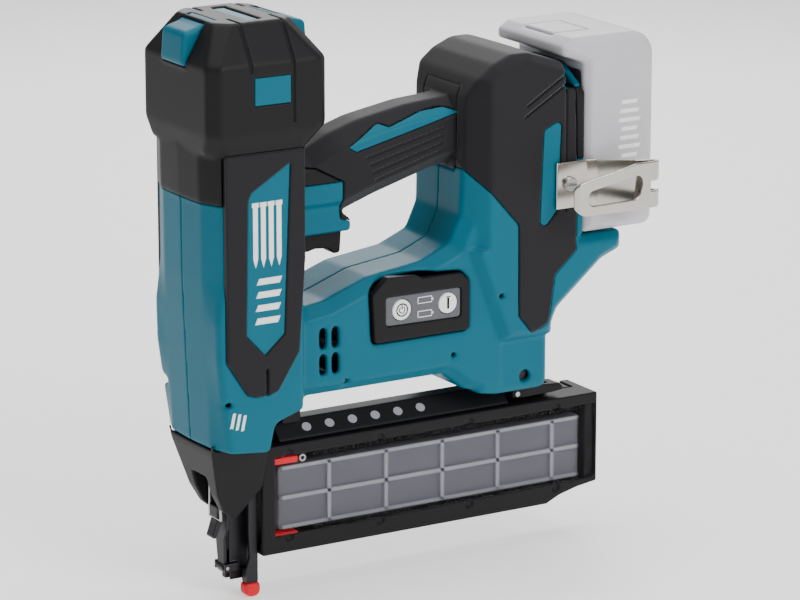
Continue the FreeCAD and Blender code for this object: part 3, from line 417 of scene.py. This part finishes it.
def field_mesh(name, lattice, field, adaptivity):
    """A mesh of a field's zero surface, smooth shaded with the field's own normals."""
    points, triangles, quads = lattice.surface(field, adaptivity)
    if len(points) == 0:
        raise RuntimeError(name + " has no surface")
    outward = lattice.normals(field, points)
    faces = triangles.tolist() + quads.tolist()
    if len(triangles):
        a, b, c = (points[triangles[:, i]] for i in range(3))
        facing = np.einsum("ij,ij->i", np.cross(b - a, c - a), outward[triangles[:, 0]])
    else:
        a, b, c = (points[quads[:, i]] for i in range(3))
        facing = np.einsum("ij,ij->i", np.cross(b - a, c - a), outward[quads[:, 0]])
    if np.sum(facing) < 0:
        faces = [face[::-1] for face in faces]
    mesh = bpy.data.meshes.new(name)
    mesh.from_pydata((points * MM).tolist(), [], faces)
    mesh.validate()
    mesh.shade_smooth()
    if len(mesh.vertices) == len(points):
        mesh.normals_split_custom_set_from_vertices(outward.tolist())
    return mesh


def softened(name, node, voxel, softness, adaptivity=0.0):
    """A CAD node with its edges rounded by softness, both in millimetres, as a finished piece."""
    lattice = Lattice([node], voxel, margin=3.0)
    field = blurred(lattice.distance(*node_triangles([node])), softness / voxel)
    mesh = field_mesh(name, lattice, field, adaptivity)
    piece = new_object(name, mesh, finish_of(SLOT_OF[node]))
    settle(piece, BODY_OF[node], [node])
    return piece


def groove(field, envelope, line, width, depth):
    """Cuts a groove of a given width, depth below the envelope; line is the distance to its middle."""
    return np.maximum(field, -np.maximum(line - width / 2, -(envelope + depth)))


def segment_distance(x, z, start, end):
    """Distance in the XZ plane to a straight line between two points."""
    run = np.array(end, float) - np.array(start, float)
    share = np.clip(((x - start[0]) * run[0] + (z - start[1]) * run[1]) / run.dot(run), 0, 1)
    return np.hypot(x - start[0] - share * run[0], z - start[1] - share * run[1])


# ---------------------------------------------------------------- casing
CASING = ["housing_left", "housing_right", "grip_overmould", "grip_inlays", "rear_overmould", "rear_inlays",
          "head_cap", "cap_inlays", "badge_frame_left", "badge_frame_right", "badge_plates"]
PANELS = ("badge_frame_left", "badge_frame_right", "badge_plates")
INLAYS = ("grip_inlays", "rear_inlays", "cap_inlays")
RUBBER = ("grip_overmould", "rear_overmould", "badge_frame_left", "badge_frame_right", "head_cap")
GRIP_GROOVES = [((73 + 2 * k, 245.6 - 4.4 * k), (123 - k, 257.0 - 4.4 * k)) for k in range(4)]
REAR_CREASES = [((192, 205), (192, 283)), ((165.5, 268), (191, 283.5)), ((164.5, 262), (191, 277.5))]
CAP_BANDS = [(-13.2, 306.0), (13.0, 276.0)]
HALVES = ("housing_left", "housing_right")
# the rest in millimetres
INLAY_VOXEL = 0.45
NECK_BOTTOM = 234.0
NECK_TOP = 275.0
NECK_WALL = 2.2
PIECE_DEPTH = 2.6            # how far a piece may reach past its CAD surface to meet its neighbour


def casing_envelope(lattice, pieces, edge, panel_edge):
    """The casing as one body with its outer edges rounded, its raised panels less than the rest."""
    union = np.minimum.reduce([pieces[name] for name in CASING]) - 0.3
    points, triangles, quads = lattice.surface(union)
    whole = lattice.distance(points, triangles, quads) + 0.3
    near_panel = np.minimum.reduce([pieces[name] for name in PANELS])
    share = np.clip((near_panel - 0.4) / 2.5, 0, 1)
    soft = blurred(whole, edge / lattice.voxel)
    crisp = blurred(whole, panel_edge / lattice.voxel)
    return share * soft + (1 - share) * crisp


def resampled(source, field, target):
    """A field of one lattice read at the finer samples of another."""
    result = field
    for axis in range(3):
        places = (np.arange(target.shape[axis]) + target.low[axis]) * target.voxel
        spot = np.clip(places / source.voxel - source.low[axis], 0, source.shape[axis] - 1.001)
        base = np.floor(spot).astype(int)
        share = (spot - base).astype(np.float32).reshape([-1 if a == axis else 1 for a in range(3)])
        result = (1 - share) * np.take(result, base, axis=axis) + share * np.take(result, base + 1, axis=axis)
    return result.astype(np.float32)


def spread_cap(pieces, envelope, z, lower_edge):
    """The cap's thin neck round the column, made 2.2 mm thick so that it parts cleanly from the halves."""
    others = np.minimum.reduce([pieces[name] for name in CASING if name not in HALVES + ("head_cap",)])
    neck = np.maximum(np.maximum(lower_edge - z, z - NECK_TOP), -NECK_WALL - envelope)
    neck = np.maximum(neck, 0.35 - others)
    pieces["head_cap"] = np.minimum(pieces["head_cap"], neck)
    for name in HALVES:
        pieces[name] = np.maximum(pieces[name], -pieces["head_cap"])


class NAILER_OT_casing(bpy.types.Operator):
    """Moulded casing halves, cap and soft skins, parted along their real gaps"""
    bl_idname = "nailer.casing"
    bl_label = "Casing"

    def execute(self, context):
        size = sizes()
        lattice = Lattice(CASING, size.voxel / MM)
        pieces = {name: lattice.distance(*node_triangles([name])) for name in CASING}
        envelope = casing_envelope(lattice, pieces, size.body_softness / MM, size.panel_softness / MM)
        x, y, z = lattice.axes()
        spread_cap(pieces, envelope, z, NECK_BOTTOM)
        stack = np.stack([pieces[name] for name in CASING])
        nearest = np.argmin(stack, axis=0)
        two = np.partition(stack, 1, axis=0)[:2]
        del stack
        width = size.groove_width / MM
        depth = size.groove_depth / MM
        gap = size.parting_gap / MM / 2
        for index, name in enumerate(CASING):
            if name in PANELS:
                continue
            own = pieces[name]
            sink = 0.0 if name in RUBBER else size.plastic_sink / MM
            if name in INLAYS:
                fine = Lattice([name], INLAY_VOXEL, margin=2.0)
                body = resampled(lattice, envelope, fine)
                field = np.maximum(body + sink, fine.distance(*node_triangles([name])) + gap)
                mesh = field_mesh(name + "_shell", fine, field, 0.0)
            else:
                other = np.where(nearest == index, two[1], two[0])
                field = np.maximum(envelope + sink, (own - other) / 2 + gap)
                field = np.maximum(field, own - PIECE_DEPTH)
                if name == "grip_overmould":
                    for start, end in GRIP_GROOVES:
                        line = segment_distance(x, z, start, end)
                        field = groove(field, envelope, line, width * 1.3, depth * 0.7)
                if name == "rear_overmould":
                    for start, end in REAR_CREASES:
                        field = groove(field, envelope, segment_distance(x, z, start, end), width, depth)
                if name == "head_cap":
                    for band, start in CAP_BANDS:
                        line = np.where((np.abs(y) > 14) & (z > start), np.abs(x - band), 9.0)
                        field = groove(field, envelope, line, width, depth)
                mesh = field_mesh(name + "_shell", lattice, field, 0.0)
            piece = new_object(name + "_shell", mesh, finish_of(SLOT_OF[name]))
            settle(piece, BODY_OF[name], [name])
        return {"FINISHED"}


# ---------------------------------------------------------------- mouldings with softened edges
SOFT_PIECES = {
    # node: (voxel, softness) in millimetres
    "badge_frame_left": (0.45, 0.42), "badge_frame_right": (0.45, 0.42), "badge_plates": (0.45, 0.3),
    "nose_cover": (0.5, 0.6),
    "trigger": (0.4, 0.6), "control_bezel": (0.4, 0.4), "control_panel": (0.35, 0.3),
    "power_button": (0.3, 0.35), "mode_button": (0.3, 0.35),
    "magazine_rail": (0.5, 0.4), "magazine_cover": (0.5, 0.4),
    "magazine_core": (0.45, 0.35), "nail_pusher": (0.35, 0.4), "magazine_latch": (0.35, 0.4),
    "battery_case": (0.7, 0.9), "battery_button": (0.5, 0.6), "contact_tip": (0.3, 1.1),
    "terminal_block": (0.5, 0.35), "belt_hook": (0.3, 0.25), "contact_arm": (0.3, 0.25),
    "driver_guide": (0.35, 0.25), "nose_plate": (0.3, 0.25), "latch_lever": (0.3, 0.3),
    "hook_screw": (0.25, 0.25), "battery_rails": (0.4, 0.25),
}


class NAILER_OT_mouldings(bpy.types.Operator):
    """Trigger, control panel, magazine, nose, hook and battery, each with its own edge radius"""
    bl_idname = "nailer.mouldings"
    bl_label = "Mouldings and pressed parts"

    def execute(self, context):
        for node, (voxel, softness) in SOFT_PIECES.items():
            softened(node + "_piece", node, voxel, softness)
        return {"FINISHED"}


class NAILER_OT_inner_parts(bpy.types.Operator):
    """Finishes for the CAD parts that keep their own shape"""
    bl_idname = "nailer.inner_parts"
    bl_label = "Inner parts"

    def execute(self, context):
        for name, obj in NODES.items():
            if not obj.hide_render:
                material = finish_of(SLOT_OF[name])
                if not obj.material_slots:
                    obj.data.materials.append(material)
                for slot in obj.material_slots:
                    slot.material = material
        return {"FINISHED"}


# ---------------------------------------------------------------- repeated details
def new_tree(name, lengths):
    """A Geometry Nodes tree with a mesh of points in, named length inputs, and a mesh out."""
    tree = bpy.data.node_groups.new(name, "GeometryNodeTree")
    tree.interface.new_socket("Points", in_out="INPUT", socket_type="NodeSocketGeometry")
    for label, value in lengths.items():
        socket = tree.interface.new_socket(label, in_out="INPUT", socket_type="NodeSocketFloat")
        socket.subtype = "DISTANCE"
        socket.default_value = value
    tree.interface.new_socket("Mesh", in_out="OUTPUT", socket_type="NodeSocketGeometry")
    return tree, tree.nodes.new("NodeGroupInput"), tree.nodes.new("NodeGroupOutput")


def set_pieces(tree, group_in, group_out, shape, material):
    """Sets a shape on every point, turned and scaled by the points' attributes, and gives it its material."""
    turn = add_node(tree, "GeometryNodeInputNamedAttribute", {"data_type": "FLOAT_VECTOR"}, {"Name": "turn"})
    scale = add_node(tree, "GeometryNodeInputNamedAttribute", {"data_type": "FLOAT_VECTOR"},
                     {"Name": "scale"})
    placed = add_node(tree, "GeometryNodeInstanceOnPoints", links={
        "Points": group_in.outputs["Points"], "Instance": shape, "Rotation": turn.outputs["Attribute"],
        "Scale": scale.outputs["Attribute"]})
    real = add_node(tree, "GeometryNodeRealizeInstances", links={"Geometry": placed.outputs["Instances"]})
    done = add_node(tree, "GeometryNodeSetMaterial", values={"Material": material},
                    links={"Geometry": real.outputs["Geometry"]})
    tree.links.new(done.outputs["Geometry"], group_out.inputs["Mesh"])


def bar_tree(name, lengths, sides, material):
    """A tree that sets a box on every point; sides name its X, Y and Z lengths."""
    tree, group_in, group_out = new_tree(name, lengths)
    size = add_node(tree, "ShaderNodeCombineXYZ",
                    links={axis: group_in.outputs[side] for axis, side in zip("XYZ", sides)})
    bar = add_node(tree, "GeometryNodeMeshCube", links={"Size": size.outputs["Vector"]})
    set_pieces(tree, group_in, group_out, bar.outputs["Mesh"], material)
    return tree


def grown(name, tree, spots, body, nodes=(), smooth=False):
    """Runs a tree on spots, each a (place, turn, scale), and keeps the result as one plain mesh."""
    points = bpy.data.meshes.new(name + "_points")
    points.from_pydata([spot[0] for spot in spots], [], [])
    for label, column in (("turn", 1), ("scale", 2)):
        attribute = points.attributes.new(label, "FLOAT_VECTOR", "POINT")
        attribute.data.foreach_set("vector", [c for spot in spots for c in spot[column]])
    source = bpy.data.objects.new(name + "_source", points)
    bpy.context.scene.collection.objects.link(source)
    modifier = source.modifiers.new("Repeat", "NODES")
    modifier.node_group = tree
    for item in tree.interface.items_tree:
        if item.in_out == "INPUT" and item.socket_type == "NodeSocketFloat":
            modifier[item.identifier] = item.default_value
    bpy.context.view_layer.update()
    evaluated = source.evaluated_get(bpy.context.evaluated_depsgraph_get())
    mesh = bpy.data.meshes.new_from_object(evaluated)
    source.modifiers.remove(modifier)
    bpy.data.objects.remove(source)
    if len(mesh.polygons) == 0:
        raise RuntimeError(name + " came out empty")
    mesh.name = name
    piece = bpy.data.objects.new(name, mesh)
    bpy.context.scene.collection.objects.link(piece)
    if smooth:
        mesh.shade_smooth()
        mesh.set_sharp_from_angle(angle=math.radians(35))
    settle(piece, body, nodes)
    return piece


# X, Z and reach to each side of the casing screws, in millimetres
CASING_SCREWS = [(-26.5, 122, 30), (52, 123, 26), (122, 128, 28), (170.5, 108.6, 27), (150, 160, 34),
                 (142, 272, 30), (178, 284, 34)]
NUT_SPOT = (170.5, -24.6, 108.6)


class NAILER_OT_screws(bpy.types.Operator):
    """Casing screws with socket heads, and the nut on the left side"""
    bl_idname = "nailer.screws"
    bl_label = "Casing screws"

    def execute(self, context):
        head = sizes().screw_head
        tree, group_in, group_out = new_tree("Socket screw", {"Head radius": head, "Head height": 2.6 * MM,
                                                              "Socket radius": 1.5 * MM})
        cap = add_node(tree, "GeometryNodeMeshCylinder", values={"Vertices": 32}, links={
            "Radius": group_in.outputs["Head radius"], "Depth": group_in.outputs["Head height"]})
        hole = add_node(tree, "GeometryNodeMeshCylinder", values={"Vertices": 6, "Depth": 2.4 * MM},
                        links={"Radius": group_in.outputs["Socket radius"]})
        sunk = add_node(tree, "GeometryNodeTransform", values={"Translation": (0, 0, 1.6 * MM)},
                        links={"Geometry": hole.outputs["Mesh"]})
        cut = add_node(tree, "GeometryNodeMeshBoolean", {"operation": "DIFFERENCE"},
                       links={"Mesh 1": cap.outputs["Mesh"], "Mesh 2": sunk.outputs["Geometry"]})
        shank = add_node(tree, "GeometryNodeMeshCylinder", values={"Vertices": 20, "Radius": 1.55 * MM,
                                                                   "Depth": 48 * MM})
        low = add_node(tree, "GeometryNodeTransform", values={"Translation": (0, 0, -25.2 * MM)},
                       links={"Geometry": shank.outputs["Mesh"]})
        both = add_node(tree, "GeometryNodeJoinGeometry", links={"Geometry": cut.outputs["Mesh"]})
        tree.links.new(low.outputs["Geometry"], both.inputs["Geometry"])
        set_pieces(tree, group_in, group_out, both.outputs["Geometry"], finish_of("steel"))
        spots = [((x * MM, (reach - 2.7) * MM, z * MM), (-math.pi / 2, 0, 0), (1, 1, 1))
                 for x, z, reach in CASING_SCREWS]
        grown("housing_screw_set", tree, spots, "tool", ["housing_screws"], smooth=True)
        nut_tree, nut_in, nut_out = new_tree("Hexagon nut", {"Nut radius": 3.3 * MM})
        ring = add_node(nut_tree, "GeometryNodeMeshCylinder", values={"Vertices": 6, "Depth": 2.4 * MM},
                        links={"Radius": nut_in.outputs["Nut radius"]})
        set_pieces(nut_tree, nut_in, nut_out, ring.outputs["Mesh"], finish_of("black_steel"))
        grown("casing_nut", nut_tree, [([c * MM for c in NUT_SPOT], (math.pi / 2, 0, 0), (1, 1, 1))], "tool")
        return {"FINISHED"}


class NAILER_OT_dial(bpy.types.Operator):
    """Depth dial with a ring of straight knurls"""
    bl_idname = "nailer.dial"
    bl_label = "Depth dial"

    def execute(self, context):
        low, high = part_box("depth_dial")
        middle = (low + high) / 2
        tree = bar_tree("Knurl", {"Knurl width": sizes().knurl_width, "Knurl height": 7.2 * MM},
                        ("Knurl width", "Knurl width", "Knurl height"), finish_of("grey_plastic"))
        count = 36
        reach = (high.x - low.x) / 2 - 0.75 * MM
        level = high.z - 4.2 * MM
        spots = []
        for i in range(count):
            angle = 2 * math.pi * i / count
            spots.append(((middle.x + reach * math.cos(angle), middle.y + reach * math.sin(angle), level),
                          (0, 0, angle), (1, 1, 1)))
        grown("dial_knurls", tree, spots, "dial")
        return {"FINISHED"}


# ---------------------------------------------------------------- printed marks
def projected_print(name, outlines, target, direction, body, material, lift=0.05):
    """Flat outlines laid on a piece's surface along a direction, as thin printed ink."""
    surface = BVHTree.FromPolygons([v.co for v in target.data.vertices],
                                   [p.vertices for p in target.data.polygons])
    work = bmesh.new()
    for outline in outlines:
        work.faces.new([work.verts.new(point) for point in outline])
    bmesh.ops.triangulate(work, faces=work.faces[:])
    for _ in range(4):
        long_edges = [e for e in work.edges if e.calc_length() > 2.2 * MM]
        if long_edges:
            bmesh.ops.subdivide_edges(work, edges=long_edges, cuts=1)
            bmesh.ops.triangulate(work, faces=[f for f in work.faces if len(f.verts) > 3])
    along = Vector(direction)
    for vertex in work.verts:
        place = surface.ray_cast(vertex.co, along)[0]
        if place is None:
            raise RuntimeError(name + " misses the surface it is printed on")
        vertex.co = place - along * lift * MM
    for face in work.faces:
        face.normal_update()
        if face.normal.dot(along) > 0:
            face.normal_flip()
    mesh = bpy.data.meshes.new(name)
    work.to_mesh(mesh)
    work.free()
    piece = new_object(name, mesh, material)
    skin = piece.modifiers.new("Ink thickness", "SOLIDIFY")
    skin.thickness = sizes().mark_thickness
    skin.offset = -1.0
    settle(piece, body)
    return piece


def bar_xz(x, z, width, height, y, slant=0.0):
    """A slanted bar in the XZ plane, its corners in order, in metres."""
    corners = [(x - width / 2, z - height / 2), (x + width / 2, z - height / 2),
               (x + width / 2 + slant, z + height / 2), (x - width / 2 + slant, z + height / 2)]
    return [(a * MM, y * MM, b * MM) for a, b in corners]


def ring_xz(x, z, outer, inner, y, start=0.0, sweep=2 * math.pi, steps=24):
    """A ring or arc in the XZ plane as short bars, in metres."""
    faces = []
    for i in range(steps):
        a = start + sweep * i / steps
        b = start + sweep * (i + 1) / steps
        polar = [(inner, a), (outer, a), (outer, b), (inner, b)]
        faces.append([((x + r * math.cos(turn)) * MM, y * MM, (z + r * math.sin(turn)) * MM)
                      for r, turn in polar])
    return faces


def brad_strip(y):
    """A strip of brads with their heads, standing up the column, and slanted bars under it."""
    outlines = []
    for i in range(4):
        x = -11.0 + 4.9 * i
        outlines.append([(c[0] * MM, y * MM, c[1] * MM) for c in [
            (x - 1.5, 203), (x, 198), (x + 1.5, 203), (x + 1.5, 232), (x + 2.1, 232), (x + 2.1, 234.6),
            (x - 2.1, 234.6), (x - 2.1, 232), (x - 1.5, 232)]])
    for i in range(4):
        outlines.append(bar_xz(-4.6 + 0.4 * i, 168 + 7.4 * i, 14.5, 3.6, y, 1.6))
    return outlines


def middle_xz(node):
    """X and Z of the middle of a CAD node, in millimetres."""
    low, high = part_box(node)
    return (low.x + high.x) / 2 / MM, (low.z + high.z) / 2 / MM


class NAILER_OT_marks(bpy.types.Operator):
    """Plain printed marks on the column, the panel and the battery"""
    bl_idname = "nailer.marks"
    bl_label = "Printed marks"

    def execute(self, context):
        white = printed_ink("White screen ink", colours().mark)
        dark = printed_ink("Black screen ink", linear("#1B1B1D"))
        pale = printed_ink("Pale grey screen ink", linear("#E4E3E6"))
        objects = bpy.data.objects
        plate = objects["badge_plates_piece"]
        projected_print("badge_mark_left", brad_strip(-60), plate, (0, 1, 0), "tool", white)
        projected_print("badge_mark_right", brad_strip(60), plate, (0, -1, 0), "tool", white)
        column = objects["housing_left_shell"]
        bars = [bar_xz(-25.6 + 3.4 * i, 113 - 1.0 * i, 1.8, 9.0, -60, 1.6) for i in range(3)]
        projected_print("column_mark", bars, column, (0, 1, 0), "tool", white)
        x, z = middle_xz("power_button")
        power = ring_xz(x, z, 3.9, 3.1, -60)
        power += ring_xz(x, z, 2.1, 1.5, -60, math.radians(120), math.radians(300), 16)
        power.append(bar_xz(x, z + 1.6, 0.7, 2.4, -60))
        key = objects["power_button_piece"]
        projected_print("power_mark", power, key, (0, 1, 0), "power_key", dark)
        x, z = middle_xz("mode_button")
        rows = [bar_xz(x, z, 1.5, 6.4, -60), bar_xz(x, z + 3.7, 3.0, 0.6, -60)]
        key = objects["mode_button_piece"]
        projected_print("mode_mark", rows, key, (0, 1, 0), "mode_key", dark)
        lamps = []
        for level in (155.6, 163.6):
            lamps += [bar_xz(101.6, level + 1.7, 9.4, 0.5, -60), bar_xz(101.6, level - 1.7, 9.4, 0.5, -60),
                      bar_xz(97.1, level, 0.5, 2.9, -60), bar_xz(106.1, level, 0.5, 2.9, -60),
                      bar_xz(106.9, level, 0.7, 1.4, -60)]
        membrane = objects["control_panel_piece"]
        projected_print("lamp_marks", lamps, membrane, (0, 1, 0), "tool", pale)
        pack = objects["battery_case_piece"]
        label = [bar_xz(234, 222 + 5.2 * i, 15 - 2 * (i % 3), 2.4, -60, 1.0) for i in range(9)]
        projected_print("pack_label_left", label, pack, (0, 1, 0), "battery", white)
        return {"FINISHED"}


# along the magazine, in millimetres
ROUNDEL_PLACES = [38 + 15 * i for i in range(6)]
RIB_PLACES = [51.5 + 37.6 * i for i in range(5)]
TOOTH_STEP = 2.6


class NAILER_OT_magazine_details(bpy.types.Operator):
    """Roundels on the magazine's sloping top, ribs on its core and teeth behind its window"""
    bl_idname = "nailer.magazine_details"
    bl_label = "Magazine details"

    def execute(self, context):
        pale = printed_ink("Grey screen ink", linear("#9C9BA1"))
        tree, group_in, group_out = new_tree("Roundel", {"Roundel radius": 2.9 * MM,
                                                         "Ink thickness": sizes().mark_thickness})
        disc = add_node(tree, "GeometryNodeMeshCylinder", values={"Vertices": 28}, links={
            "Radius": group_in.outputs["Roundel radius"], "Depth": group_in.outputs["Ink thickness"]})
        set_pieces(tree, group_in, group_out, disc.outputs["Mesh"], pale)
        slope = math.atan2(98 - 88.9, 12.5 - 4)
        spots = [((x * MM, -8.3 * MM, (88.9 + (12.5 - 8.3) * math.tan(slope) + 0.06) * MM), (slope, 0, 0),
                  (1, 0.92, 1)) for x in ROUNDEL_PLACES]
        grown("rail_roundels", tree, spots, "tool")
        self.ribs()
        self.teeth()
        return {"FINISHED"}

    def ribs(self):
        """Upright ribs and long ledges on the core, one mesh."""
        low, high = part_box("magazine_core")
        material = moulded("Light grey nylon, smooth mould", colours().rib, 0.35, 1.4, 0.02)
        tree = bar_tree("Core rib", {"Rib unit": 1.0 * MM}, ("Rib unit",) * 3, material)
        middle = (low.z + high.z) / 2
        length = high.x - low.x - 4 * MM
        spots = [(((low.x + high.x) / 2, low.y - 0.1 * MM, level), (0, 0, 0), (length / MM, 0.7, height))
                 for level, height in ((middle, 2.2), (high.z - 1.2 * MM, 2.0), (low.z + 1.2 * MM, 2.0))]
        for x in RIB_PLACES:
            spots.append(((x * MM, low.y - 0.1 * MM, middle), (0, 0, 0),
                          (2.2, 0.7, (high.z - low.z) / MM - 1.0)))
        grown("core_ribs", tree, spots, "tool")

    def teeth(self):
        """Fine teeth along the top and bottom of the window."""
        low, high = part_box("magazine_window")
        tree = bar_tree("Rack tooth", {"Tooth width": 0.9 * MM}, ("Tooth width",) * 3,
                        finish_of("black_plastic"))
        count = int((high.x - low.x - 32 * MM) / (TOOTH_STEP * MM))
        spots = []
        for i in range(count):
            x = low.x + (26 + TOOTH_STEP * i) * MM
            for level in (high.z - 1.6 * MM, low.z + 1.6 * MM):
                spots.append(((x, high.y + 0.5 * MM, level), (0, 0, 0), (1, 0.8, 1.6)))
        grown("magazine_teeth", tree, spots, BODY_OF["magazine_cover"])


# ---------------------------------------------------------------- stage
def area_light(name, place, target, size, power):
    """A soft rectangular light that points at a target."""
    data = bpy.data.lights.new(name, "AREA")
    data.shape = "RECTANGLE"
    data.size = size[0]
    data.size_y = size[1]
    data.energy = power
    obj = bpy.data.objects.new(name, data)
    bpy.context.scene.collection.objects.link(obj)
    obj.location = place
    obj.rotation_euler = (Vector(target) - Vector(place)).to_track_quat("-Z", "Y").to_euler()


class NAILER_OT_stage(bpy.types.Operator):
    """Pale floor, soft studio lights and the camera"""
    bl_idname = "nailer.stage"
    bl_label = "Stage"

    def execute(self, context):
        scene = context.scene
        mesh = bpy.data.meshes.new("floor")
        reach = 6.0
        mesh.from_pydata([(-reach, -reach, 0), (reach, -reach, 0), (reach, reach, 0), (-reach, reach, 0)], [],
                         [(0, 1, 2, 3)])
        # a lit table: matt, even, a little bright of its own
        paper = moulded("Lit studio floor, matt", colours().floor, 0.8, 1.0, 0.002,
                        **{"Emission Color": colours().floor, "Emission Strength": 0.6})
        floor = new_object("floor", mesh, paper)
        floor.location.z = CAD_BOX[0][2] - 0.2 * MM
        world = scene.world or bpy.data.worlds.new("Studio")
        scene.world = world
        world.use_nodes = True
        sky = world.node_tree.nodes.get("Background")
        sky.inputs["Color"].default_value = linear("#FFFFFF")
        sky.inputs["Strength"].default_value = 0.36
        middle = (0.09, 0, 0.17)
        area_light("Key", (0.45, -1.75, 1.15), middle, (1.0, 1.0), 28)
        area_light("Fill", (-1.5, -0.6, 0.9), middle, (0.8, 1.0), 2)
        area_light("Top", (0.1, 0.1, 1.7), middle, (1.6, 1.2), 24)
        area_light("Back", (0.9, 1.3, 1.0), middle, (1.0, 0.8), 14)
        level = math.cos(CAMERA_RISE)
        back = Vector((math.sin(CAMERA_TURN) * level, -math.cos(CAMERA_TURN) * level, math.sin(CAMERA_RISE)))
        right = Vector((math.cos(CAMERA_TURN), math.sin(CAMERA_TURN), 0))
        up = back.cross(right)
        data = bpy.data.cameras.new("Camera")
        data.lens = CAMERA_LENS
        data.sensor_width = 36.0
        data.clip_end = 30.0
        camera = bpy.data.objects.new("Camera", data)
        scene.collection.objects.link(camera)
        turn = Matrix((right, up, back)).transposed().to_4x4()
        camera.matrix_world = Matrix.Translation(CAMERA_PLACE) @ turn
        scene.camera = camera
        return {"FINISHED"}


# ---------------------------------------------------------------- add-on parts
OPERATORS = [NAILER_OT_stage, NAILER_OT_casing, NAILER_OT_mouldings, NAILER_OT_screws, NAILER_OT_dial,
             NAILER_OT_marks, NAILER_OT_magazine_details, NAILER_OT_inner_parts]


class NAILER_PT_panel(bpy.types.Panel):
    """Lists the nailer's sizes, colours and pieces"""
    bl_idname = "NAILER_PT_panel"
    bl_label = "Brad nailer"
    bl_space_type = "VIEW_3D"
    bl_region_type = "UI"
    bl_category = "Nailer"

    def draw(self, context):
        for group in (context.scene.nailer_sizes, context.scene.nailer_colours):
            for name in group.__annotations__:
                self.layout.prop(group, name)
        for operator in OPERATORS:
            self.layout.operator(operator.bl_idname)


CLASSES = [NailerSizes, NailerColours] + OPERATORS + [NAILER_PT_panel]


def register():
    """Registers the classes and adds the properties to the scene."""
    for cls in CLASSES:
        bpy.utils.register_class(cls)
    bpy.types.Scene.nailer_sizes = bpy.props.PointerProperty(type=NailerSizes)
    bpy.types.Scene.nailer_colours = bpy.props.PointerProperty(type=NailerColours)


def unregister():
    """Takes the properties off the scene and removes the classes."""
    del bpy.types.Scene.nailer_colours
    del bpy.types.Scene.nailer_sizes
    for cls in reversed(CLASSES):
        bpy.utils.unregister_class(cls)


def main():
    """Makes every piece in order."""
    register()
    for operator in OPERATORS:
        getattr(bpy.ops.nailer, operator.bl_idname.split(".")[1])()


if __name__ == "__main__":
    main()
